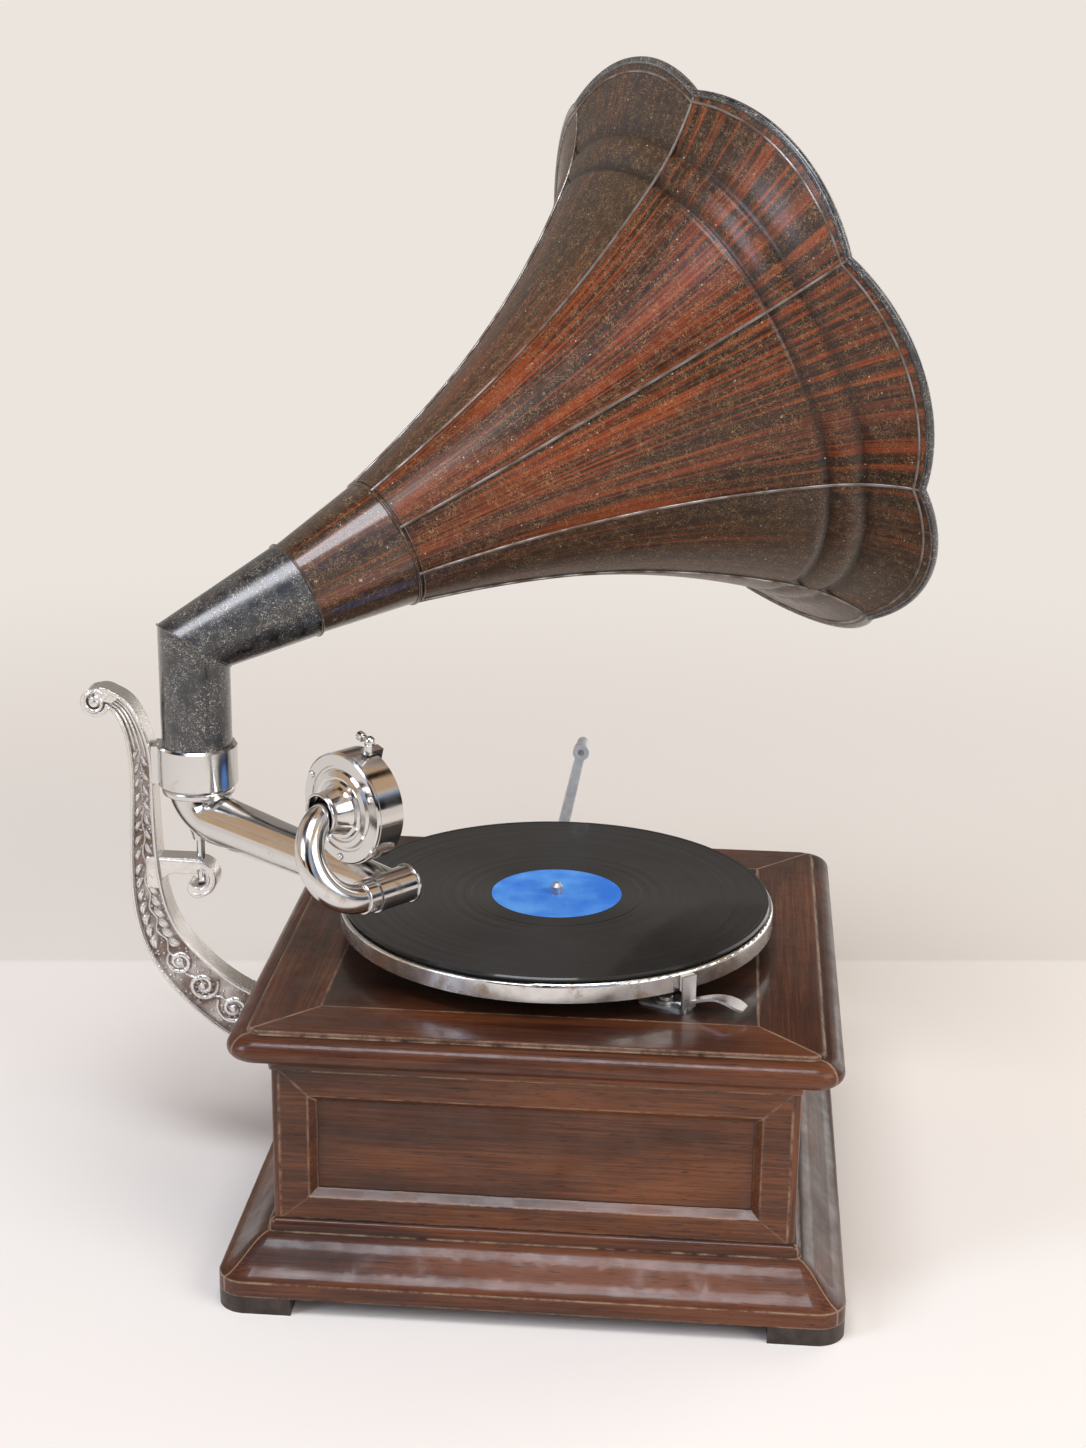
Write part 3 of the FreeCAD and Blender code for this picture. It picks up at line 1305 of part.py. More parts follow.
leaf = Part.Face(Part.Wire(Part.sortEdges([leaf, leaf_back] + leaf_ends)[0])).extrude(V(0, 4, 0))
weight = Part.makeSphere(weight_radius, V(weight_orbit + 2.5, 0, weight_mid)).cut(leaf)
weight = max(weight.Solids, key=lambda s: s.Volume)
save("governor_springs", *[on_governor(turned(leaf, 120 * k)) for k in range(3)])
save("governor_weights", *[on_governor(turned(weight, 120 * k)) for k in range(3)])

plate_low_x = -68.0
plate_high_x = 78.0
plate_low_y = -54.0
plate_high_y = 94.0
block_half = 8.0
block_near = 68.0
block_far = 78.0
pillar_inset = 7.0
motor_holes = [(origin, spindle_radius + spindle_fit), (barrel_at, arbor_radius + arbor_fit),
               (middle_at, middle_radius + arbor_fit)]
motor_plates = []
for low in (motor_top, arbor_low):
    sheet = box(plate_low_x, plate_high_x, plate_low_y, plate_high_y, low, low + plate_motor)
    sheet = softened(sheet, 8.0, lambda e: e.BoundBox.ZLength > plate_motor - 0.1)
    for place, radius in motor_holes:
        hole = rod(radius, V(place.x, place.y, low - 1), V(place.x, place.y, low + plate_motor + 1))
        sheet = sheet.cut(hole)
    motor_plates.append(sheet)
shaft_block = box(crank_x - block_half, crank_x + block_half, block_near, block_far,
                  crank_z - block_half, motor_top)
block_bore = crank_shaft_radius + crank_fit
shaft_way = rod(block_bore, V(crank_x, block_near - 1, crank_z), V(crank_x, block_far + 1, crank_z))
shaft_block = shaft_block.cut(shaft_way)
save("motor_top_plate", motor_plates[0].fuse(shaft_block).removeSplitter())
stands = []
for x in (governor_low + 1, governor_high - 6):
    stand = box(x, x + 5, -governor_distance - 5, -governor_distance + 5, motor_low, governor_height + 5)
    bearing = rod(governor_shaft_radius + arbor_fit, V(x - 1, -governor_distance, governor_height),
                  V(x + 6, -governor_distance, governor_height))
    stands.append(stand.cut(bearing))
save("motor_lower_plate", motor_plates[1].fuse(stands).removeSplitter())
pillars = []
for x in (plate_low_x + pillar_inset, plate_high_x - pillar_inset):
    for y in (plate_low_y + pillar_inset, plate_high_y - pillar_inset):
        pillars.append(rod(pillar_radius, V(x, y, motor_low), V(x, y, motor_top)))
save("motor_pillars", *pillars)
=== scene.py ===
import math
import random

import bpy
from mathutils import Matrix, Vector


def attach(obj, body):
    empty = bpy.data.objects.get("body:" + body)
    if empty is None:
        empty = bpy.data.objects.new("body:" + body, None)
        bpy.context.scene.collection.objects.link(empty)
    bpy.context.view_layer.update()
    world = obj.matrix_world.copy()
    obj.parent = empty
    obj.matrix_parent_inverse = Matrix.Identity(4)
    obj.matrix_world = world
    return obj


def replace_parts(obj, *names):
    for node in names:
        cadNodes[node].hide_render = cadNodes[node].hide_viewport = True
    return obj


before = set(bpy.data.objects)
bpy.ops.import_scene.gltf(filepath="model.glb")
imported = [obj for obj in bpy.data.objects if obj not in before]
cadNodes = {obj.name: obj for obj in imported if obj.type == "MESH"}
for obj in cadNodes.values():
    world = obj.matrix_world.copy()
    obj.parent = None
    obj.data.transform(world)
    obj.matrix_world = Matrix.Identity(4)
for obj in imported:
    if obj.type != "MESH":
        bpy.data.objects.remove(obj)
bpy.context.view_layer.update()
scene = bpy.context.scene
mm = 0.001
print("frame loaded with", len(cadNodes), "nodes")


def hexColour(code):
    parts = [int(code[k:k + 2], 16) / 255 for k in (1, 3, 5)]
    linear = [c / 12.92 if c <= 0.04045 else ((c + 0.055) / 1.055) ** 2.4 for c in parts]
    return (*linear, 1.0)


def fillSockets(tree, node, values):
    for entry, value in values.items():
        if isinstance(value, bpy.types.NodeSocket):
            tree.links.new(value, node.inputs[entry])
        else:
            node.inputs[entry].default_value = value


def addNode(tree, kind, values=None, stops=None, **settings):
    node = tree.nodes.new(kind)
    for name, value in settings.items():
        setattr(node, name, value)
    fillSockets(tree, node, values or {})
    if stops:
        elements = node.color_ramp.elements
        while len(elements) < len(stops):
            elements.new(0.5)
        for element, (place, code) in zip(elements, stops):
            element.position = place
            element.color = hexColour(code)
    return node


def startMaterial(name):
    material = bpy.data.materials.new(name)
    material.use_nodes = True
    tree = material.node_tree
    tree.nodes.clear()
    shader = addNode(tree, "ShaderNodeBsdfPrincipled")
    addNode(tree, "ShaderNodeOutputMaterial", {"Surface": shader.outputs["BSDF"]})
    where = addNode(tree, "ShaderNodeTexCoord").outputs["Object"]
    return material, tree, shader, where


# camera where the photograph was taken from, frame in photo pixels
view = {"height": 1448, "focal": 2302.4, "sensor": 36, "place": (95.39, -1259.55, 685.15),
        "yaw": 4.75, "pitch": 17.36, "roll": 0.69, "clip": (0.05, 60)}


def makeCamera():
    yaw, pitch, roll = (math.radians(view[k]) for k in ("yaw", "pitch", "roll"))
    ahead = Vector((-math.sin(yaw) * math.cos(pitch), math.cos(yaw) * math.cos(pitch), -math.sin(pitch)))
    level = Vector((math.cos(yaw), math.sin(yaw), 0))
    above = level.cross(ahead)
    right = level * math.cos(roll) + above * math.sin(roll)
    up = above * math.cos(roll) - level * math.sin(roll)
    data = bpy.data.cameras.new("photoCamera")
    data.sensor_fit = "AUTO"
    data.sensor_width = view["sensor"]
    data.lens = view["sensor"] * view["focal"] / view["height"]
    data.clip_start, data.clip_end = view["clip"]
    camera = bpy.data.objects.new("photoCamera", data)
    scene.collection.objects.link(camera)
    turn = Matrix((right, up, -ahead)).transposed()
    camera.matrix_world = Matrix.Translation(Vector(view["place"]) * mm) @ turn.to_4x4()
    scene.camera = camera


makeCamera()
scene.view_settings.view_transform = "Standard"

# soft studio: a cool window on the left, a broad fill on the right, a bank high in front,
# and a large soft one behind on the right
lamps = {
    "windowLight": {"at": (-1.9, -1.5, 1.35), "size": (0.8, 1.2), "power": 26, "colour": "#d6e4fb"},
    "fillLight": {"at": (2.1, -1.6, 1.6), "size": (1.8, 1.8), "power": 36, "colour": "#fffaf3"},
    "topLight": {"at": (-0.2, -0.9, 2.5), "size": (1.3, 0.9), "power": 35, "colour": "#f3f6ff"},
    "sideLight": {"at": (2.2, 2.1, 1.3), "size": (2.4, 2.4), "power": 34, "colour": "#fdfbf8"},
}
aimPoint = Vector((-0.05, 0, 0.28))
for name, lamp in lamps.items():
    data = bpy.data.lights.new(name, "AREA")
    data.shape = "RECTANGLE"
    data.size, data.size_y = lamp["size"]
    data.energy = lamp["power"]
    data.color = hexColour(lamp["colour"])[:3]
    light = bpy.data.objects.new(name, data)
    scene.collection.objects.link(light)
    light.location = lamp["at"]
    light.rotation_euler = (aimPoint - light.location).to_track_quat("-Z", "Y").to_euler()

# the room seen in the nickel: pale patches, a few dark uprights and a grey wall behind; the camera sees it plain
room = {"dark": "#0f0b08", "brown": "#756c64", "pale": "#f4f2f0", "patch": (2.3, 2.3, 0.7), "strength": 0.80,
        "warm": "#ecc9a4", "plain": "#f8f7f5", "cool": "#bfd5fc", "hue": 1.6,
        "wall": "#a9a39c", "wallFrom": 0.4, "wallFull": 0.75, "backdrop": "#ece5de"}


def makeRoom():
    world = bpy.data.worlds.new("room")
    scene.world = world
    world.use_nodes = True
    tree = world.node_tree
    tree.nodes.clear()
    way = addNode(tree, "ShaderNodeTexCoord").outputs["Generated"]
    laid = addNode(tree, "ShaderNodeMapping", {"Vector": way, "Scale": room["patch"]})
    patches = addNode(tree, "ShaderNodeTexNoise", {"Vector": laid.outputs[0], "Scale": 1.0, "Detail": 1.5})
    shade = addNode(tree, "ShaderNodeValToRGB", {"Fac": patches.outputs["Fac"]},
                    stops=[(0.41, room["dark"]), (0.46, room["brown"]), (0.53, room["pale"])])
    drift = addNode(tree, "ShaderNodeTexNoise", {"Vector": way, "Scale": room["hue"], "Detail": 1.0})
    hue = addNode(tree, "ShaderNodeValToRGB", {"Fac": drift.outputs["Fac"]},
                  stops=[(0.40, room["warm"]), (0.50, room["plain"]), (0.60, room["cool"])])
    tinted = addNode(tree, "ShaderNodeMix", {0: 1.0, 6: shade.outputs["Color"], 7: hue.outputs["Color"]},
                     data_type="RGBA", blend_type="MULTIPLY")
    axes = addNode(tree, "ShaderNodeSeparateXYZ", {"Vector": way})
    wallShare = addNode(tree, "ShaderNodeMapRange", {"Value": axes.outputs["Y"], "From Min": room["wallFrom"],
                                                     "From Max": room["wallFull"]})
    walled = addNode(tree, "ShaderNodeMix", {0: wallShare.outputs[0], 6: tinted.outputs[2],
                                             7: hexColour(room["wall"])}, data_type="RGBA")
    glow = addNode(tree, "ShaderNodeBackground", {"Color": walled.outputs[2], "Strength": room["strength"]})
    backdrop = addNode(tree, "ShaderNodeBackground", {"Color": hexColour(room["backdrop"])})
    seen = addNode(tree, "ShaderNodeLightPath").outputs["Is Camera Ray"]
    pick = addNode(tree, "ShaderNodeMixShader", {0: seen, 1: glow.outputs["Background"],
                                                 2: backdrop.outputs["Background"]})
    addNode(tree, "ShaderNodeOutputWorld", {"Surface": pick.outputs[0]})


makeRoom()

# pale floor all round, a shade darker behind the case; far off it is lit evenly, as a studio cove is
ground = {"edge": 0.333, "soft": 0.004, "turn": 6.5, "side": 14.0, "near": 0.3, "far": 1.7, "tooth": 4,
          "floorColour": "#f1ede7", "backColour": "#e5e0d9", "coveColour": "#ece5de", "unlit": "#000000"}


def makeFloor():
    material, tree, shader, where = startMaterial("floorPaperRolled")  # matt paper: flat, faint tooth
    axes = addNode(tree, "ShaderNodeSeparateXYZ", {"Vector": where})
    behind = addNode(tree, "ShaderNodeMapRange", {"Value": axes.outputs["Y"],
                                                  "From Min": ground["edge"] - ground["soft"],
                                                  "From Max": ground["edge"] + ground["soft"]})
    tone = addNode(tree, "ShaderNodeMix", {0: behind.outputs[0], 6: hexColour(ground["floorColour"]),
                                           7: hexColour(ground["backColour"])}, data_type="RGBA")
    away = addNode(tree, "ShaderNodeVectorMath", {0: where}, operation="LENGTH")
    lit = addNode(tree, "ShaderNodeMapRange", {"Value": away.outputs["Value"], "From Min": ground["near"],
                                               "From Max": ground["far"]}, interpolation_type="SMOOTHSTEP")
    paper = addNode(tree, "ShaderNodeMix", {0: lit.outputs[0], 6: tone.outputs[2],
                                            7: hexColour(ground["unlit"])}, data_type="RGBA")
    tooth = addNode(tree, "ShaderNodeTexNoise", {"Vector": where, "Scale": 1 / (ground["tooth"] * mm),
                                                 "Detail": 4.0})
    push = addNode(tree, "ShaderNodeBump", {"Strength": 0.12, "Distance": 0.0006, "Height": tooth.outputs["Fac"]})
    fillSockets(tree, shader, {"Base Color": paper.outputs[2], "Emission Strength": lit.outputs[0],
                               "Emission Color": hexColour(ground["coveColour"]),
                               "Normal": push.outputs["Normal"], "Roughness": 0.85, "Specular IOR Level": 0.0})
    mesh = bpy.data.meshes.new("floor")
    side = ground["side"]
    mesh.from_pydata([(-side, -side, 0), (side, -side, 0), (side, side, 0), (-side, side, 0)], [], [(0, 1, 2, 3)])
    mesh.materials.append(material)
    floor = bpy.data.objects.new("floor", mesh)
    floor.rotation_euler.z = math.radians(ground["turn"])  # the paper lies square to the camera
    scene.collection.objects.link(floor)


makeFloor()
print("stage set")


# mahogany, stained dark and french polished: fine pores, long figure, glassy film worn thin on the edges
wood = {"case": ("#271209", "#532b13", "#7c4622"), "board": ("#160803", "#2d1509", "#452210"),
        "top": ("#1f0d05", "#43200e", "#69381a"), "pore": "#170a05", "worn": "#b99c80", "mitre": "#96795f",
        "corner": 7, "figure": 45, "fibre": 1.2, "poreWidth": 0.6, "mitreLine": 0.5, "edge": 1.9, "scuff": 18}


def mahoganyFrenchPolished(name, grain, tone):
    material, tree, shader, where = startMaterial(name)
    axes = addNode(tree, "ShaderNodeSeparateXYZ", {"Vector": where})
    if grain == "mitred":  # boards meet on the diagonals, grain along each side
        swapped = addNode(tree, "ShaderNodeCombineXYZ", {"X": axes.outputs["Y"], "Y": axes.outputs["X"],
                                                         "Z": axes.outputs["Z"]})
        reachX = addNode(tree, "ShaderNodeMath", {0: axes.outputs["X"]}, operation="ABSOLUTE")
        reachY = addNode(tree, "ShaderNodeMath", {0: axes.outputs["Y"]}, operation="ABSOLUTE")
        onSide = addNode(tree, "ShaderNodeMath", {0: reachY.outputs[0], 1: reachX.outputs[0]},
                         operation="GREATER_THAN")
        along = addNode(tree, "ShaderNodeMix", {0: onSide.outputs[0], 4: swapped.outputs[0], 5: where},
                        data_type="VECTOR").outputs[1]
    elif grain == "upright":
        along = addNode(tree, "ShaderNodeCombineXYZ", {"X": axes.outputs["Z"], "Y": axes.outputs["X"],
                                                       "Z": axes.outputs["Y"]}).outputs[0]
    else:
        along = where
    layers = {}
    for layer, width, stretch, detail in (("figure", wood["figure"], 6, 4.0), ("fibre", wood["fibre"], 45, 3.0),
                                          ("pore", wood["poreWidth"], 16, 2.0)):
        across = 1 / (width * mm)
        laid = addNode(tree, "ShaderNodeMapping", {"Vector": along, "Scale": (across / stretch, across, across)})
        layers[layer] = addNode(tree, "ShaderNodeTexNoise", {"Vector": laid.outputs[0], "Scale": 1.0,
                                                             "Detail": detail, "Distortion": 0.4}).outputs["Fac"]
    blend = addNode(tree, "ShaderNodeMath", {0: layers["fibre"], 1: 0.55, 2: layers["figure"]},
                    operation="MULTIPLY_ADD")
    shade = addNode(tree, "ShaderNodeValToRGB", {"Fac": blend.outputs[0]},
                    stops=list(zip((0.55, 0.77, 0.98), wood[tone])))
    pores = addNode(tree, "ShaderNodeMapRange", {"Value": layers["pore"], "From Min": 0.60, "From Max": 0.72})
    corner = addNode(tree, "ShaderNodeAmbientOcclusion", {"Distance": wood["corner"] * mm}, samples=6)
    cornerShade = addNode(tree, "ShaderNodeMapRange", {"Value": corner.outputs["AO"], "From Min": 0.92, "From Max": 0.5,
                                                 "To Max": 0.85})  # painted shade: the colour darkens towards the pore colour where ambient occlusion finds corners and recesses
    # pores and the painted corner shade both darken to the pore colour
    dark = addNode(tree, "ShaderNodeMath", {0: pores.outputs[0], 1: cornerShade.outputs[0]}, operation="MAXIMUM")
    poredAndShaded = addNode(tree, "ShaderNodeMix", {0: dark.outputs[0], 6: shade.outputs["Color"],
                                            7: hexColour(wood["pore"])}, data_type="RGBA")
    edgeTurn = addNode(tree, "ShaderNodeBevel", {"Radius": wood["edge"] * mm}, samples=4).outputs["Normal"]
    faceTurn = addNode(tree, "ShaderNodeNewGeometry").outputs["Normal"]
    turned = addNode(tree, "ShaderNodeVectorMath", {0: edgeTurn, 1: faceTurn}, operation="DOT_PRODUCT")
    rubbed = addNode(tree, "ShaderNodeMapRange", {"Value": turned.outputs["Value"], "From Min": 0.985,
                                                  "From Max": 0.88})
    scuffs = addNode(tree, "ShaderNodeTexNoise", {"Vector": where, "Scale": 1 / (wood["scuff"] * mm),
                                                  "Detail": 7.0, "Roughness": 0.7}).outputs["Fac"]
    scuffed = addNode(tree, "ShaderNodeMapRange", {"Value": scuffs, "From Min": 0.40, "From Max": 0.56})
    wornEdge = addNode(tree, "ShaderNodeMath", {0: rubbed.outputs[0], 1: scuffed.outputs[0]}, operation="MULTIPLY")
    colour = addNode(tree, "ShaderNodeMix", {0: wornEdge.outputs[0], 6: poredAndShaded.outputs[2],
                                             7: hexColour(wood["worn"])}, data_type="RGBA")
    if grain == "mitred":  # the joint opens as a thin pale line on the diagonal
        apart = addNode(tree, "ShaderNodeMath", {0: reachX.outputs[0], 1: reachY.outputs[0]}, operation="SUBTRACT")
        near = addNode(tree, "ShaderNodeMath", {0: apart.outputs[0]}, operation="ABSOLUTE")
        width = wood["mitreLine"] * mm
        line = addNode(tree, "ShaderNodeMapRange", {"Value": near.outputs[0], "From Min": width * 1.4,
                                                    "From Max": width * 0.7, "To Max": 0.8})
        colour = addNode(tree, "ShaderNodeMix", {0: line.outputs[0], 6: colour.outputs[2],
                                                 7: hexColour(wood["mitre"])}, data_type="RGBA")
    gloss = addNode(tree, "ShaderNodeMapRange", {"Value": scuffs, "From Min": 0.3, "From Max": 0.75,
                                                 "To Min": 0.34, "To Max": 0.6})
    dent = addNode(tree, "ShaderNodeBump", {"Strength": 0.25, "Distance": 0.0003, "Height": layers["pore"],
                                            "Normal": edgeTurn})
    film = addNode(tree, "ShaderNodeMapRange", {"Value": scuffs, "From Min": 0.34, "From Max": 0.62,
                                                "To Min": 0.5, "To Max": 0.25})  # polish, gone where it is scuffed
    fillSockets(tree, shader, {"Base Color": colour.outputs[2], "Roughness": gloss.outputs[0],
                               "Normal": dent.outputs["Normal"], "IOR": 1.5, "Specular IOR Level": 0.3,
                               "Coat Weight": film.outputs[0], "Coat Roughness": 0.13, "Coat IOR": 1.52})
    return material


# nickel plate on brass, buffed: bright mirror with fine wipe scratches and thin brown bloom
nickel = {"clean": "#d8d6d4", "cast": "#e9e6e2", "bloom": "#9c8464", "recess": "#6b4a33", "field": 5.5, "top": 6.6,
          "scratch": 0.4, "patch": 14, "pebble": 1.1, "soft": 1.2}


def nickelPlate(name, roughness, bloom, cast=False):
    material, tree, shader, where = startMaterial(name)
    patches = addNode(tree, "ShaderNodeTexNoise", {"Vector": where, "Scale": 1 / (nickel["patch"] * mm),
                                                   "Detail": 6.0, "Roughness": 0.62}).outputs["Fac"]
    stained = addNode(tree, "ShaderNodeMapRange", {"Value": patches, "From Min": 0.66 - bloom,
                                                   "From Max": 0.82 - bloom * 0.6})
    colour = addNode(tree, "ShaderNodeMix", {0: stained.outputs[0], 7: hexColour(nickel["bloom"]),
                                             6: hexColour(nickel["cast" if cast else "clean"])},
                     data_type="RGBA").outputs[2]
    wiped = addNode(tree, "ShaderNodeMapping", {"Vector": where, "Scale": (90, 1 / (nickel["scratch"] * mm), 400),
                                                "Rotation": (0.3, 0.5, 0.7)})
    lines = addNode(tree, "ShaderNodeTexNoise", {"Vector": wiped.outputs[0], "Scale": 1.0, "Detail": 3.0})
    scratch = addNode(tree, "ShaderNodeBump", {"Strength": 0.06, "Distance": 0.0002, "Height": lines.outputs["Fac"]})
    shine = addNode(tree, "ShaderNodeMapRange", {"Value": patches, "From Min": 0.35, "From Max": 0.75,
                                                 "To Min": roughness * 0.7, "To Max": roughness * 1.9}).outputs[0]
    metal = 1.0
    if cast:
        # the plating is worn to brown in the sunk field, where a cloth never reaches
        depth = addNode(tree, "ShaderNodeSeparateXYZ", {"Vector": where})
        offMiddle = addNode(tree, "ShaderNodeMath", {0: depth.outputs["Y"]}, operation="ABSOLUTE")
        sunk = addNode(tree, "ShaderNodeMapRange", {"Value": offMiddle.outputs[0], "From Min": nickel["top"] * mm,
                                                    "From Max": nickel["field"] * mm, "To Min": 0.03, "To Max": 0.88})
        faceTurn = addNode(tree, "ShaderNodeNewGeometry").outputs["Normal"]
        facing = addNode(tree, "ShaderNodeSeparateXYZ", {"Vector": faceTurn})
        sideways = addNode(tree, "ShaderNodeMath", {0: facing.outputs["Y"]}, operation="ABSOLUTE")
        onFace = addNode(tree, "ShaderNodeMapRange", {"Value": sideways.outputs[0], "From Min": 0.12,
                                                      "From Max": 0.45})
        spotty = addNode(tree, "ShaderNodeMapRange", {"Value": patches, "From Min": 0.36, "From Max": 0.6,
                                                      "To Min": 0.45, "To Max": 1.0})
        brown = addNode(tree, "ShaderNodeMath", {0: sunk.outputs[0], 1: spotty.outputs[0]}, operation="MULTIPLY")
        deep = addNode(tree, "ShaderNodeMath", {0: brown.outputs[0], 1: onFace.outputs[0]},
                       operation="MULTIPLY").outputs[0]
        colour = addNode(tree, "ShaderNodeMix", {0: deep, 6: colour, 7: hexColour(nickel["recess"])},
                         data_type="RGBA").outputs[2]
        # and the brown is matt dirt, not metal
        metal = addNode(tree, "ShaderNodeMapRange", {"Value": deep, "To Min": 1.0, "To Max": 0.35}).outputs[0]
        shine = addNode(tree, "ShaderNodeMath", {0: deep, 1: 0.35, 2: shine}, operation="MULTIPLY_ADD").outputs[0]
        # the mould's pebbled skin, every corner soft
        soft = addNode(tree, "ShaderNodeBevel", {"Radius": nickel["soft"] * mm}, samples=4)
        fillSockets(tree, scratch, {"Normal": soft.outputs["Normal"]})
        pebbles = addNode(tree, "ShaderNodeTexVoronoi", {"Vector": where, "Scale": 1 / (nickel["pebble"] * mm)})
        scratch = addNode(tree, "ShaderNodeBump", {"Strength": 0.35, "Distance": 0.0003,
                                                   "Height": pebbles.outputs["Distance"],
                                                   "Normal": scratch.outputs["Normal"]})
    fillSockets(tree, shader, {"Base Color": colour, "Metallic": metal, "Roughness": shine,
                               "Normal": scratch.outputs["Normal"]})
    return material


# steel bar, ground and left to dull: grey, soft highlights along the grind
bar = {"grey": "#8b9096", "clean": "#d3d7db", "roughness": 0.46, "grind": 1.2, "patch": 14}


def groundSteel(name):
    material, tree, shader, where = startMaterial(name)
    grind = addNode(tree, "ShaderNodeTexNoise", {"Vector": where, "Scale": 1 / (bar["grind"] * mm), "Detail": 5.0})
    tint = addNode(tree, "ShaderNodeTexNoise", {"Vector": where, "Scale": 1 / (bar["patch"] * mm), "Detail": 4.0})
    shade = addNode(tree, "ShaderNodeValToRGB", {"Fac": tint.outputs["Fac"]},
                    stops=[(0.3, bar["grey"]), (0.6, bar["clean"])])
    dull = addNode(tree, "ShaderNodeMapRange", {"Value": tint.outputs["Fac"], "To Min": bar["roughness"] * 0.7,
                                                "To Max": bar["roughness"] * 1.4})
    push = addNode(tree, "ShaderNodeBump", {"Strength": 0.1, "Distance": 0.0002, "Height": grind.outputs["Fac"]})
    fillSockets(tree, shader, {"Base Color": shade.outputs["Color"], "Roughness": dull.outputs[0],
                               "Normal": push.outputs["Normal"], "Metallic": 1.0})
    return material


# the horn's own frame, from the bend: across, sideways and along, turned so that a seam is at angle 0
hornPlace = {"at": (-212.0, 0.0, 329.75), "turn": 34.5, "rise": 21.3, "seam": 17.4, "petals": 8}
hornTurn = (Matrix.Rotation(math.radians(hornPlace["turn"]), 3, "Z")
            @ Matrix.Rotation(math.radians(90 - hornPlace["rise"]), 3, "Y"))
bend = Vector(hornPlace["at"]) * mm


def petalTurn(k):
    return hornTurn @ Matrix.Rotation(math.radians(hornPlace["seam"] + 360 / hornPlace["petals"] * k), 3, "Z")


# hair-thin curls in old paint: where a twisted noise crosses its middle
def curledLines(tree, where, size, twist, outer, inner):
    curls = addNode(tree, "ShaderNodeTexNoise", {"Vector": where, "Scale": 1 / (size * mm), "Detail": 1.0,
                                                 "Distortion": twist}).outputs["Fac"]
    apart = addNode(tree, "ShaderNodeMath", {0: curls, 1: 0.5}, operation="SUBTRACT")
    near = addNode(tree, "ShaderNodeMath", {0: apart.outputs[0]}, operation="ABSOLUTE")
    lines = addNode(tree, "ShaderNodeMapRange", {"Value": near.outputs[0], "From Min": outer, "From Max": inner})
    return curls, lines.outputs[0]


# sheet tin, painted in imitation of rosewood and varnished: red streaks drawn out from the throat,
# curled flecks, chips; the dull grey on six petals is painted sheen, the near-black in the pressed lines painted shade
grained = {"ground": "#1c120b", "brown": "#40291a", "streak": "#742b0c", "glow": "#97451a", "fleck": "#a5835a",
           "bare": "#b0a598", "dull": "#4b4138", "grooveShade": "#120b07", "streaks": 34, "fine": 110, "cloud": 2.6,
           "curl": 2.4, "spot": 6, "speck": 7.0, "chip": 7, "redPetals": 3.5}


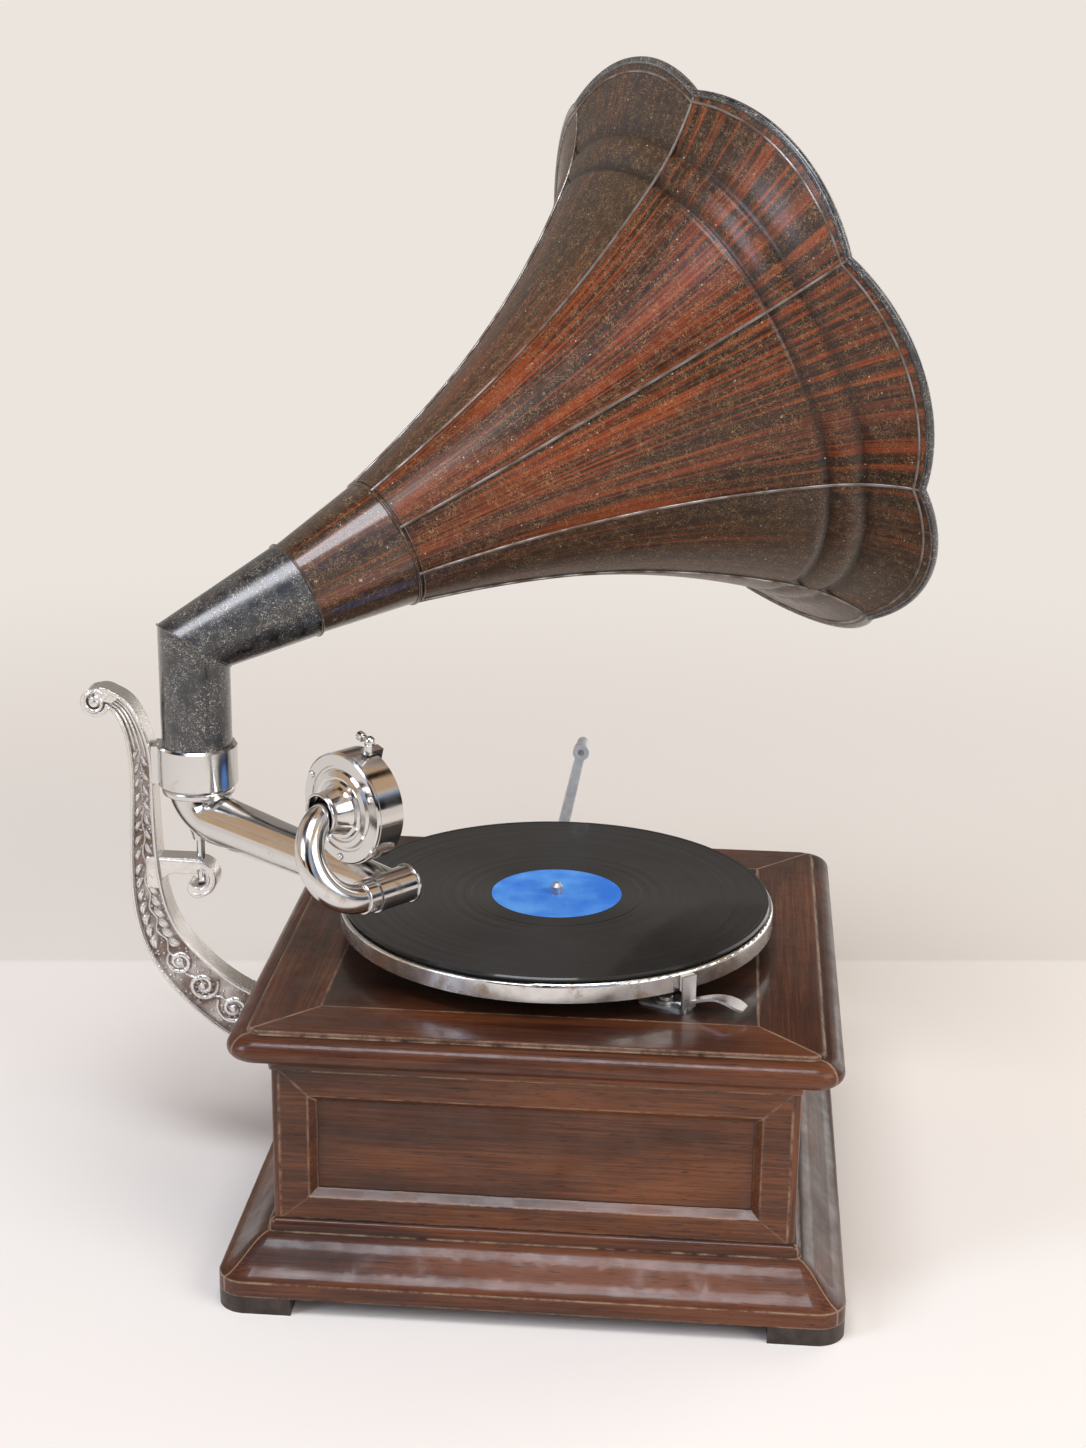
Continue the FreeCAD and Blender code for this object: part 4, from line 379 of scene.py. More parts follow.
def grainedTin(name, red, wear, varnish):
    material, tree, shader, where = startMaterial(name)
    fromBend = addNode(tree, "ShaderNodeVectorMath", {0: where, 1: bend}, operation="SUBTRACT").outputs[0]
    across, sideways, along = (
        addNode(tree, "ShaderNodeVectorMath", {0: fromBend, 1: axis}, operation="DOT_PRODUCT").outputs["Value"]
        for axis in petalTurn(0).col)
    angle = addNode(tree, "ShaderNodeMath", {0: sideways, 1: across}, operation="ARCTAN2")
    petal = addNode(tree, "ShaderNodeMath", {0: angle.outputs[0], 1: hornPlace["petals"] / (2 * math.pi)},
                    operation="MULTIPLY").outputs[0]  # counts petals round the horn
    spread = addNode(tree, "ShaderNodeCombineXYZ", {"X": petal, "Y": along}).outputs[0]
    which = addNode(tree, "ShaderNodeMath", {0: petal}, operation="FLOOR")
    fromRedPair = addNode(tree, "ShaderNodeMath", {0: which.outputs[0], 1: grained["redPetals"]}, operation="ADD")
    awayFromRed = addNode(tree, "ShaderNodeMath", {0: fromRedPair.outputs[0]}, operation="ABSOLUTE")
    washedOut = addNode(tree, "ShaderNodeMath", {0: awayFromRed.outputs[0], 1: 1.0},
                    operation="GREATER_THAN").outputs[0]  # painted sheen: six petals are greyed towards the dull colour and their streaks held back, standing for the pale room they reflect; two petals keep their red
    layers = {}
    for layer, run, detail in (("streaks", 6, 3.0), ("fine", 14, 4.0), ("cloud", 7, 2.0)):
        laid = addNode(tree, "ShaderNodeMapping", {"Vector": spread, "Scale": (grained[layer], run, 1)})
        layers[layer] = addNode(tree, "ShaderNodeTexNoise", {"Vector": laid.outputs[0], "Scale": 1.0,
                                                             "Detail": detail, "Roughness": 0.55,
                                                             "Distortion": 0.2}).outputs["Fac"]
    amount = addNode(tree, "ShaderNodeMath", {0: layers["cloud"], 1: 0.55, 2: layers["streaks"]},
                     operation="MULTIPLY_ADD")
    held = addNode(tree, "ShaderNodeMath", {0: washedOut, 1: -0.10, 2: amount.outputs[0]}, operation="MULTIPLY_ADD")
    streaky = addNode(tree, "ShaderNodeMapRange", {"Value": held.outputs[0], "From Min": 0.89 - 0.18 * red,
                                                   "From Max": 1.06 - 0.16 * red, "To Max": 0.9})
    base = addNode(tree, "ShaderNodeValToRGB", {"Fac": layers["fine"]},
                   stops=[(0.36, grained["ground"]), (0.66, grained["brown"])])
    warm = addNode(tree, "ShaderNodeValToRGB", {"Fac": layers["fine"]},
                   stops=[(0.38, grained["streak"]), (0.62, grained["glow"])])
    streaked = addNode(tree, "ShaderNodeMix", {0: streaky.outputs[0], 6: base.outputs["Color"],
                                               7: warm.outputs["Color"]}, data_type="RGBA")
    # painted sheen: how much of the dull grey lies over the six greyed petals
    paintedSheen = addNode(tree, "ShaderNodeMath", {0: washedOut, 1: 0.3}, operation="MULTIPLY")
    curls, curlMask = curledLines(tree, where, grained["curl"], 1.6, 0.040, 0.008)
    spots = addNode(tree, "ShaderNodeTexNoise", {"Vector": where, "Scale": 1 / (grained["spot"] * mm),
                                                 "Detail": 4.0, "Roughness": 0.65}).outputs["Fac"]
    spotMask = addNode(tree, "ShaderNodeMapRange", {"Value": spots, "From Min": 0.36, "From Max": 0.58,
                                                    "To Max": 0.75})
    fleckMask = addNode(tree, "ShaderNodeMath", {0: curlMask, 1: spotMask.outputs[0]}, operation="MULTIPLY")
    pressed = addNode(tree, "ShaderNodeAttribute", attribute_name="grooveShade")  # painted shade: the pressed grooves are darkened by a weight stored on the mesh
    specks = addNode(tree, "ShaderNodeTexVoronoi", {"Vector": where, "Scale": 1 / (grained["speck"] * mm)})
    speckNear = addNode(tree, "ShaderNodeMapRange", {"Value": specks.outputs["Distance"], "From Min": 0.085,
                                                     "From Max": 0.06})
    speckPick = addNode(tree, "ShaderNodeSeparateColor", {"Color": specks.outputs["Color"]})
    speckFew = addNode(tree, "ShaderNodeMath", {0: speckPick.outputs[0], 1: 0.45}, operation="LESS_THAN")
    speckMask = addNode(tree, "ShaderNodeMath", {0: speckNear.outputs[0], 1: speckFew.outputs[0]},
                        operation="MULTIPLY")
    chips = addNode(tree, "ShaderNodeTexNoise", {"Vector": where, "Scale": 1 / (grained["chip"] * mm),
                                                 "Detail": 6.0, "Roughness": 0.7})
    chipped = addNode(tree, "ShaderNodeMapRange", {"Value": chips.outputs["Fac"], "From Min": 0.74 - wear,
                                                   "From Max": 0.77 - wear})
    bareMask = addNode(tree, "ShaderNodeMath", {0: chipped.outputs[0], 1: speckMask.outputs[0]},
                       operation="MAXIMUM")
    colour = streaked.outputs[2]
    # in order: dull grey is painted sheen, fleck is real paint curls, the near-black in the pressed lines is painted
    # shade, bare is chipped tin
    for mask, over in ((paintedSheen.outputs[0], "dull"), (fleckMask.outputs[0], "fleck"),
                       (pressed.outputs["Fac"], "grooveShade"), (bareMask.outputs[0], "bare")):
        colour = addNode(tree, "ShaderNodeMix", {0: mask, 6: colour, 7: hexColour(grained[over])},
                         data_type="RGBA").outputs[2]
    gloss = addNode(tree, "ShaderNodeMapRange", {"Value": spots, "From Min": 0.3, "From Max": 0.7,
                                                 "To Min": 0.30, "To Max": 0.5})
    ripple = addNode(tree, "ShaderNodeMath", {0: layers["fine"], 1: curls}, operation="ADD")
    push = addNode(tree, "ShaderNodeBump", {"Strength": 0.14, "Distance": 0.0004, "Height": ripple.outputs[0]})
    fillSockets(tree, shader, {"Base Color": colour, "Roughness": gloss.outputs[0], "IOR": 1.5,
                               "Normal": push.outputs["Normal"], "Specular IOR Level": 0.3,
                               "Coat Weight": varnish, "Coat Roughness": 0.22 - 0.1 * varnish})
    return material


# soldered seams of the horn: varnish rubbed off the crest, so bright tin shows in long lengths between brown ones
seamTin = {"bare": "#a7a29d", "varnish": "#5b4636", "length": 14.0}


def rubbedSeam(name):
    material, tree, shader, where = startMaterial(name)
    lengths = addNode(tree, "ShaderNodeTexNoise", {"Vector": where, "Scale": 1 / (seamTin["length"] * mm),
                                                   "Detail": 4.0}).outputs["Fac"]
    shown = addNode(tree, "ShaderNodeMapRange", {"Value": lengths, "From Min": 0.40, "From Max": 0.66})
    colour = addNode(tree, "ShaderNodeMix", {0: shown.outputs[0], 6: hexColour(seamTin["varnish"]),
                                             7: hexColour(seamTin["bare"])}, data_type="RGBA")
    push = addNode(tree, "ShaderNodeBump", {"Strength": 0.3, "Distance": 0.0004, "Height": lengths})
    fillSockets(tree, shader, {"Base Color": colour.outputs[2], "Metallic": shown.outputs[0],
                               "Normal": push.outputs["Normal"], "Roughness": 0.28})
    return material


# sheet tin in black stove paint, long handled: grey bloom, pale curled scratches
blackened = {"paint": "#1b1c1f", "bloom": "#2f3033", "scratch": "#c2b8a8", "curl": 3.2, "cloud": 11}


def stovePaintedTin(name):
    material, tree, shader, where = startMaterial(name)
    cloud = addNode(tree, "ShaderNodeTexNoise", {"Vector": where, "Scale": 1 / (blackened["cloud"] * mm),
                                                 "Detail": 6.0, "Roughness": 0.6}).outputs["Fac"]
    base = addNode(tree, "ShaderNodeValToRGB", {"Fac": cloud},
                   stops=[(0.38, blackened["paint"]), (0.68, blackened["bloom"])])
    curlMask = curledLines(tree, where, blackened["curl"], 2.0, 0.018, 0.006)[1]
    sparse = addNode(tree, "ShaderNodeMapRange", {"Value": cloud, "From Min": 0.34, "From Max": 0.54})
    scratchMask = addNode(tree, "ShaderNodeMath", {0: curlMask, 1: sparse.outputs[0]}, operation="MULTIPLY")
    colour = addNode(tree, "ShaderNodeMix", {0: scratchMask.outputs[0], 6: base.outputs["Color"],
                                             7: hexColour(blackened["scratch"])}, data_type="RGBA")
    gloss = addNode(tree, "ShaderNodeMapRange", {"Value": cloud, "From Min": 0.3, "From Max": 0.7,
                                                 "To Min": 0.24, "To Max": 0.42})
    push = addNode(tree, "ShaderNodeBump", {"Strength": 0.2, "Distance": 0.0004, "Height": cloud})
    fillSockets(tree, shader, {"Base Color": colour.outputs[2], "Roughness": gloss.outputs[0], "IOR": 1.5,
                               "Normal": push.outputs["Normal"], "Coat Weight": 1.0, "Coat Roughness": 0.21})
    return material


# shellac record: pressed and black, grooves catch the light in a fan; real pitch is 0.25 mm, drawn at 0.6 mm to show
disc = {"black": "#0c0b0d", "dustAndSheen": "#3c3a37", "pitch": 0.6, "runOut": 50, "band": 4, "dustAndSheenPatch": 30}


def pressedShellac(name):
    material, tree, shader, where = startMaterial(name)
    axes = addNode(tree, "ShaderNodeSeparateXYZ", {"Vector": where})
    flat = addNode(tree, "ShaderNodeCombineXYZ", {"X": axes.outputs["X"], "Y": axes.outputs["Y"]})
    radius = addNode(tree, "ShaderNodeVectorMath", {0: flat.outputs[0]}, operation="LENGTH").outputs["Value"]
    turns = addNode(tree, "ShaderNodeMath", {0: radius, 1: 2 * math.pi / (disc["pitch"] * mm)}, operation="MULTIPLY")
    groove = addNode(tree, "ShaderNodeMath", {0: turns.outputs[0]}, operation="SINE")
    inner = addNode(tree, "ShaderNodeMath", {0: radius, 1: disc["runOut"] * mm}, operation="GREATER_THAN")
    cut = addNode(tree, "ShaderNodeMath", {0: groove.outputs[0], 1: inner.outputs[0]}, operation="MULTIPLY")
    bands = addNode(tree, "ShaderNodeTexNoise", {"W": radius, "Scale": 1 / (disc["band"] * mm), "Detail": 3.0},
                    noise_dimensions="1D")
    # greyer patches: partly dust, partly a painted sheen where the record looks lighter
    dustAndSheen = addNode(tree, "ShaderNodeTexNoise", {"Vector": where, "Scale": 1 / (disc["dustAndSheenPatch"] * mm),
                                                "Detail": 6.0, "Roughness": 0.7})
    dustAndSheenMask = addNode(tree, "ShaderNodeMapRange", {"Value": dustAndSheen.outputs["Fac"], "From Min": 0.5, "From Max": 0.8,
                                                 "To Max": 0.25})
    colour = addNode(tree, "ShaderNodeMix", {0: dustAndSheenMask.outputs[0], 6: hexColour(disc["black"]),
                                             7: hexColour(disc["dustAndSheen"])}, data_type="RGBA")
    sheen = addNode(tree, "ShaderNodeMapRange", {"Value": bands.outputs["Fac"], "From Min": 0.3, "From Max": 0.7,
                                                 "To Min": 0.34, "To Max": 0.46})
    push = addNode(tree, "ShaderNodeBump", {"Strength": 0.07, "Distance": 0.0002, "Height": cut.outputs[0]})
    around = addNode(tree, "ShaderNodeTangent", direction_type="RADIAL", axis="Z")
    fillSockets(tree, shader, {"Base Color": colour.outputs[2], "Roughness": sheen.outputs[0],
                               "Normal": push.outputs["Normal"], "Tangent": around.outputs["Tangent"],
                               "Anisotropic": 0.8, "Anisotropic Rotation": 0.25,  # light fans out across the grooves
                               "IOR": 1.55, "Specular IOR Level": 0.3,
                               "Coat Weight": 0.5, "Coat Roughness": 0.07})  # the lands mirror what is over them
    return material


# plain blue label paper, calendered: slight fibre, soft sheen, rubbed paler in patches
label = {"blue": "#2377df", "washedOut": "#5aa4f4", "fibre": 0.5, "patch": 20}


def labelPaper(name):
    material, tree, shader, where = startMaterial(name)
    fibre = addNode(tree, "ShaderNodeTexNoise", {"Vector": where, "Scale": 1 / (label["fibre"] * mm), "Detail": 5.0})
    cloud = addNode(tree, "ShaderNodeTexNoise", {"Vector": where, "Scale": 1 / (label["patch"] * mm), "Detail": 4.0})
    mixed = addNode(tree, "ShaderNodeMath", {0: fibre.outputs["Fac"], 1: 0.4, 2: cloud.outputs["Fac"]},
                    operation="MULTIPLY_ADD")
    shade = addNode(tree, "ShaderNodeValToRGB", {"Fac": mixed.outputs[0]},
                    stops=[(0.55, label["blue"]), (0.9, label["washedOut"])])
    push = addNode(tree, "ShaderNodeBump", {"Strength": 0.15, "Distance": 0.0001, "Height": fibre.outputs["Fac"]})
    fillSockets(tree, shader, {"Base Color": shade.outputs["Color"], "Normal": push.outputs["Normal"],
                               "Roughness": 0.42, "IOR": 1.5})
    return material


# small and hidden stuffs share one mottled build: felt, leather, rubber, pine, brass, blued and zinc plated steel, mica
def mottled(name, dark, light, grainSize, roughness, metallic=0.0, alpha=1.0, bump=0.3):
    material, tree, shader, where = startMaterial(name)
    grain = addNode(tree, "ShaderNodeTexNoise", {"Vector": where, "Scale": 1 / (grainSize * mm), "Detail": 5.0})
    shade = addNode(tree, "ShaderNodeValToRGB", {"Fac": grain.outputs["Fac"]}, stops=[(0.3, dark), (0.7, light)])
    push = addNode(tree, "ShaderNodeBump", {"Strength": bump, "Distance": 0.0003, "Height": grain.outputs["Fac"]})
    fillSockets(tree, shader, {"Base Color": shade.outputs["Color"], "Normal": push.outputs["Normal"],
                               "Roughness": roughness, "Metallic": metallic, "Alpha": alpha})
    return material


finishes = {
    "mitred": mahoganyFrenchPolished("mahoganyFrenchPolished", "mitred", "case"),
    "topWood": mahoganyFrenchPolished("mahoganyFrenchPolishedTop", "mitred", "top"),
    "board": mahoganyFrenchPolished("mahoganyFrenchPolishedBoard", "straight", "board"),
    "post": mahoganyFrenchPolished("mahoganyFrenchPolishedPost", "upright", "case"),
    "ebonised": mottled("ebonisedBeechScuffed", "#1c1410", "#43352c", 6, 0.45),
    "stringing": mottled("boxwoodStringing", "#4a3223", "#8a6f55", 9, 0.4),
    "pine": mottled("pinePlaned", "#8a6238", "#b98d58", 3, 0.7),
    "plate": nickelPlate("nickelPlateBuffed", 0.13, 0.02),
    "rimPlate": nickelPlate("nickelPlateMottled", 0.2, 0.12),
    "leverPlate": nickelPlate("nickelPlateHandled", 0.36, 0.02),
    "casting": nickelPlate("nickelPlateOnCasting", 0.17, 0.0, cast=True),
    "steel": groundSteel("steelGround"),
    "dulled": mottled("steelZincPlatedDulled", "#d9dfe4", "#f6f8f9", 5, 0.38, metallic=0.3, bump=0.1),
    "blued": mottled("springSteelBlued", "#2a3140", "#55606f", 4, 0.35, metallic=1.0, bump=0.1),
    "brass": mottled("brassTurned", "#8d6a31", "#c79d55", 5, 0.3, metallic=1.0, bump=0.1),
    "grained": grainedTin("tinGrainedAndVarnished", 1.0, 0.03, 0.25),
    "neck": grainedTin("tinGrainedDarkAndVarnished", 0.6, 0.09, 1.0),
    "inside": grainedTin("tinGrainedInsideDull", 0.2, 0.03, 0.1),
    "seam": rubbedSeam("tinSeamSoldered"),
    "bead": grainedTin("tinRolledBead", 0.1, 0.08, 1.0),
    "blackTin": stovePaintedTin("tinStovePainted"),
    "shellac": pressedShellac("shellacPressed"),
    "label": labelPaper("labelPaperCalendered"),
    "felt": mottled("feltWool", "#182019", "#33402f", 0.8, 0.95),
    "leather": mottled("leatherChamois", "#b5ab98", "#dcd6c8", 0.9, 0.8),
    "rubber": mottled("rubberMoulded", "#17110f", "#2b211d", 2, 0.6),
    "mica": mottled("micaSplit", "#b8a98c", "#e2d8c2", 7, 0.2, alpha=0.6, bump=0.05),
}
wearers = {
    "mitred": "side_frame_left side_frame_front side_frame_right side_frame_back side_panels cove_moulding",
    "topWood": "plinth_mouldings top_rail_left top_rail_front top_rail_right top_rail_back",
    "board": "motor_board",
    "post": "corner_posts",
    "ebonised": "base_feet",
    "pine": "bottom_board",
    "plate": "horn_collar tone_arm arm_cross_tube gooseneck soundbox_back soundbox_rim "
             "needle_screw stylus_bar arm_pivot_pin soundbox_screws",
    "leverPlate": "brake_lever brake_base brake_pivot",
    "rimPlate": "turntable",
    "casting": "support_bracket",
    "dulled": "crank_arm crank_grip",
    "steel": "crank_shaft grip_stud spindle bracket_screws motor_top_plate motor_lower_plate "
             "motor_pillars winding_arbor governor_shaft spring_barrel",
    "blued": "mainspring governor_springs",
    "brass": "spindle_gears intermediate_wheel governor_weights crank_bush",
    "neck": "horn_neck",
    "blackTin": "horn_elbow",
    "shellac": "record",
    "label": "record_label",
    "felt": "turntable_felt",
    "leather": "brake_pad",
    "rubber": "soundbox_gaskets throat_bush",
    "mica": "diaphragm",
}
for finish, names in wearers.items():
    for name in names.split():
        mesh = cadNodes[name].data
        mesh.materials.clear()
        mesh.materials.append(finishes[finish])
print("finishes on", sum(len(names.split()) for names in wearers.values()), "nodes")


def addPiece(name, points, faces, materials, body, picks=None):
    mesh = bpy.data.meshes.new(name)
    mesh.from_pydata([tuple(p) for p in points], [], faces)
    for material in materials:
        mesh.materials.append(material)
    if picks:
        mesh.polygons.foreach_set("material_index", picks)
    mesh.shade_smooth()
    piece = bpy.data.objects.new(name, mesh)
    scene.collection.objects.link(piece)
    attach(piece, body)
    return piece


def gridFaces(rows, columns, around=False, closed=False):
    faces = []  # around joins the last column to the first, closed joins the last row to the first
    for r in range(rows if closed else rows - 1):
        this, after = r * columns, (r + 1) % rows * columns
        for c in range(columns if around else columns - 1):
            d = (c + 1) % columns
            faces.append((this + c, this + d, after + d, after + c))
    return faces


def joinShape(points, faces, morePoints, moreFaces):
    first = len(points)
    points.extend(morePoints)
    faces.extend(tuple(first + v for v in face) for face in moreFaces)


def circle(count):
    return [2 * math.pi * k / count for k in range(count)]


# bell of the horn: eight petals, lobes that reach forward, and pressed bands near the mouth (run, width, height)
bell = {"start": 130.8, "length": 257.0, "throat": 39.1, "slope": 0.276, "flare": 6.0e-5, "power": 2.5,
        "lobeStart": 222.0, "lobePower": 2.3, "reach": 9.0, "seam": 185.5, "lobe": 192.0, "wall": 1.38,
        "across": 20, "coarse": 5.0, "fine": 1.5, "fineFrom": 200, "grooveShade": 0.3,
        "bands": ((223.0, 2.4, -2.4), (230.5, 4.0, 0.9), (238.0, 2.4, -2.0), (255.0, 4.5, 1.6))}


def bellRadius(run, mouth):
    plain = bell["throat"] + bell["slope"] * run + bell["flare"] * run ** bell["power"]
    full = bell["throat"] + bell["slope"] * bell["length"] + bell["flare"] * bell["length"] ** bell["power"]
    share = (max(0.0, run - bell["lobeStart"]) / (bell["length"] - bell["lobeStart"])) ** bell["lobePower"]
    return plain + (mouth - full) * share, share


def petalPoint(run, across, inset):
    half = math.pi / hornPlace["petals"]
    seam, share = bellRadius(run, bell["seam"])
    lobe = bellRadius(run, bell["lobe"])[0]
    seamX, seamY = (seam - inset) * math.cos(half), (seam - inset) * math.sin(half)
    forward = bell["reach"] * share
    span = math.hypot(lobe - inset - seamX, forward)
    middle = (span ** 2 - seamY ** 2) / (2 * span)
    radius = span - middle
    sweep = math.atan2(seamY, -middle) * across
    out, side = middle + radius * math.cos(sweep), radius * math.sin(sweep)
    return Vector((seamX + out * (lobe - inset - seamX) / span, side, bell["start"] + run + out * forward / span))


def makeBell():
    coarseRows = int(bell["fineFrom"] / bell["coarse"]) + 1
    fineRows = int((bell["length"] - bell["fineFrom"]) / bell["fine"])
    runs = [bell["coarse"] * k for k in range(coarseRows)]
    runs += [bell["fineFrom"] + bell["fine"] * k for k in range(1, fineRows)] + [bell["length"]]
    columns = bell["across"] + 1
    outside = gridFaces(len(runs), columns)
    inside = [quad[::-1] for quad in outside]
    points, faces, picks, grooveShade = [], [], [], []
    for k in range(hornPlace["petals"]):
        place = petalTurn(k + 0.5)
        for skin, (inset, quads) in enumerate(((0.0, outside), (bell["wall"], inside))):
            sheet = []
            for run in runs:
                lift = sum(h * math.exp(-((run - at) / wide) ** 2) for at, wide, h in bell["bands"])
                # painted shade: where a band sinks in, its depth becomes a darkening weight for the pressed lines
                grooveShade += [max(0.0, -bell["grooveShade"] * lift)] * columns
                for c in range(columns):
                    local = petalPoint(run, 2 * c / bell["across"] - 1, inset - lift)
                    sheet.append(bend + place @ local * mm)
            joinShape(points, faces, sheet, quads)
            picks += [skin] * len(quads)
    piece = addPiece("hornBell", points, faces, [finishes["grained"], finishes["inside"]], "horn", picks)
    piece.data.attributes.new("grooveShade", "FLOAT", "POINT").data.foreach_set("value", grooveShade)
    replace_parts(piece, "horn_petals")


makeBell()


def tubePoints(path, thick, upright, closed=True, sides=10):
    points = []
    count = len(path)
    for k, point in enumerate(path):
        ahead = path[(k + 1) % count] if closed else path[min(k + 1, count - 1)]
        behind = path[k - 1] if closed else path[max(k - 1, 0)]
        run = (ahead - behind).normalized()
        side = run.cross(upright).normalized()
        over = side.cross(run)
        points += [point + (side * math.cos(t) + over * math.sin(t)) * thick for t in circle(sides)]
    return points, gridFaces(count, sides, around=True, closed=closed)


# rolled bead of the mouth, a thin pale tube just inside it that is a painted highlight on the rolled lip, and the ribs
# soldered over the seams
edges = {"bead": 2.5, "beadOut": 0.9, "lipHighlight": 0.8, "lipBack": 2.6, "lipOut": 1.6, "rib": 0.95, "ribOut": 0.6,
         "ribStep": 4, "ribSteps": 64, "lastStep": 254.0, "perPetal": 24}


def mouthLine(run, out, forward):
    line = []
    for k in range(hornPlace["petals"]):
        place = petalTurn(k + 0.5)
        for c in range(edges["perPetal"]):
            local = petalPoint(run, 2 * c / edges["perPetal"] - 1, -out) + Vector((0, 0, forward))
            line.append(bend + place @ local * mm)
    return line


def makeEdges():
    along = hornTurn.col[2]
    rim = mouthLine(bell["length"], edges["beadOut"], edges["beadOut"])
    points, faces = tubePoints(rim, edges["bead"] * mm, along, sides=12)
    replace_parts(addPiece("hornBead", points, faces, [finishes["blackTin"]], "horn"), "horn_rim")
    # painted highlight: a pale tube along the lip stands for the bright line the light draws on it
    lipHighlight = mouthLine(bell["length"] - edges["lipBack"], edges["lipOut"], 0)
    points, faces = tubePoints(lipHighlight, edges["lipHighlight"] * mm, along)
    addPiece("hornLipHighlight", points, faces, [finishes["seam"]], "horn")
    points, faces = [], []
    runs = [edges["ribStep"] * k for k in range(edges["ribSteps"])] + [edges["lastStep"], bell["length"]]
    for k in range(hornPlace["petals"]):
        place = petalTurn(k)
        line = []
        for run in runs:
            radius = bellRadius(run, bell["seam"])[0] + edges["ribOut"]
            line.append(bend + place @ Vector((radius, 0, bell["start"] + run)) * mm)
        joinShape(points, faces, *tubePoints(line, edges["rib"] * mm, place.col[1], closed=False))
    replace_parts(addPiece("hornRibs", points, faces, [finishes["seam"]], "horn"), "horn_seams")


makeEdges()

# wired edges where the horn's sections lap (run, radius, thickness), and the mitre seam of the elbow
laps = {"elbowLap": (69.4, 29.7, 0.8), "neckLap": (130.4, 40.1, 0.9), "throatLap": (133.4, 40.2, 0.7)}
elbow = {"radius": 20.6, "bead": 0.75}


def makeLaps():
    for name, (run, radius, thick) in laps.items():
        ring = [bend + hornTurn @ Vector((radius * math.cos(t), radius * math.sin(t), run)) * mm for t in circle(72)]
        points, faces = tubePoints(ring, thick * mm, hornTurn.col[2])
        addPiece(name, points, faces, [finishes["bead"]], "horn")
    rise = math.radians(hornPlace["rise"])
    mitre = (Vector((0, 0, 1)) + Vector((math.cos(rise), 0, math.sin(rise)))).normalized()
    turn = Matrix.Rotation(math.radians(hornPlace["turn"]), 3, "Z")
    seam = []
    for t in circle(64):
        spoke = Vector((math.cos(t), math.sin(t), 0)) * elbow["radius"]
        spoke.z = -spoke.dot(mitre) / mitre.z
        seam.append(bend + turn @ spoke * mm)
    points, faces = tubePoints(seam, elbow["bead"] * mm, mitre)
    addPiece("elbowSeam", points, faces, [finishes["blackTin"]], "horn")


makeLaps()
print("horn dressed")


# raised scrollwork in the sunk sides of the bracket, the same on both faces; the spine is x, z and half width along
# the casting, spirals are place on the spine, radius, start and way, and the other runs are places on the spine
relief = {"field": 5.15, "high": 1.9, "rim": 2.4, "face": 7.4, "bead": 1.0, "grains": 260,
          "spirals": ((1.25, 11.5, 0.2, -1), (2.25, 10.6, 2.6, 1), (3.2, 9.6, 0.4, -1), (4.1, 8.2, 2.4, 1)),
          "leafFrom": 4.75, "leafStep": 0.36, "leafPairs": 15, "leafAside": 0.52, "leafLean": 0.5,
          "stem": (0.5, 10.2), "flutes": (9.9, 12.9), "edges": (0.05, 12.75), "spine": [
    (-140.0, 87.0, 19.0), (-166.0, 92.5, 18.0), (-188.5, 102.0, 16.6), (-208.5, 116.0, 15.0), (-224.5, 132.3, 13.8),
    (-235.5, 149.5, 12.0), (-241.5, 168.0, 10.4), (-244.2, 190.0, 9.0), (-244.6, 215.0, 7.8), (-244.2, 240.0, 7.0),
    (-244.8, 265.0, 7.0), (-248.6, 281.0, 6.2), (-254.6, 292.2, 5.8), (-263.2, 297.8, 5.4)]}
volute = {"x": -270.0, "z": 295.0, "radius": 7.6, "cap": [
    (-255.5, 298.6), (-258.0, 301.1), (-260.6, 302.9), (-263.4, 304.0), (-266.4, 304.4), (-269.6, 303.9),
    (-270.0, 297.0), (-260.0, 295.0)]}
hook = {"x": -213.0, "z": 188.0, "outer": 10.2, "inner": 6.7, "lug": (-239.0, 199.2, 6.4)}


def onSpine(place, aside, extra=0.0):
    k = min(int(place), len(relief["spine"]) - 2)
    share = place - k
    (x0, z0, h0), (x1, z1, h1) = relief["spine"][k], relief["spine"][k + 1]
    before = relief["spine"][max(k - 1, 0)]
    after = relief["spine"][min(k + 2, len(relief["spine"]) - 1)]
    runA = Vector((x1 - before[0], z1 - before[1])).normalized()
    runB = Vector((after[0] - x0, after[1] - z0)).normalized()
    run = runA.lerp(runB, share).normalized()
    half = h0 + (h1 - h0) * share - relief["rim"]
    start, end = Vector((x0, z0)), Vector((x1, z1))
    reach = (end - start).length / 3
    a, b = start + runA * reach, end - runB * reach  # a smooth curve through the points, as the casting runs
    centre = (start * (1 - share) ** 3 + a * 3 * share * (1 - share) ** 2
              + b * 3 * share ** 2 * (1 - share) + end * share ** 3)
    return centre + Vector((-run.y, run.x)) * (aside * half + extra), run


def spinePath(span, steps, aside=0.0, extra=0.0, sway=0.0):
    low, high = span
    return [onSpine(low + (high - low) * k / steps, aside + sway * math.sin(0.5 * k), extra)[0]
            for k in range(steps + 1)]


def spiralPath(centre, outer, inner, turns, start, way):
    steps = int(turns * 28)
    path = []
    for k in range(steps + 1):
        t = start + way * 2 * math.pi * turns * k / steps
        path.append(centre + Vector((math.cos(t), math.sin(t))) * (outer + (inner - outer) * (k / steps) ** 0.8))
    return path


def reliefStem(path, width, high):
    points = []
    sides = 9
    for k, point in enumerate(path):
        run = (path[min(k + 1, len(path) - 1)] - path[max(k - 1, 0)]).normalized()
        share = k / (len(path) - 1)
        thin = 0.35 + 0.65 * math.sin(math.pi * min(1.0, 0.12 + share * 0.8))
        for c in range(sides):
            turn = math.pi * c / (sides - 1)
            flat = point + Vector((-run.y, run.x)) * width * thin * math.cos(turn)
            points.append((flat.x, math.sin(turn) * high * thin, flat.y))
    return points, gridFaces(len(path), sides)


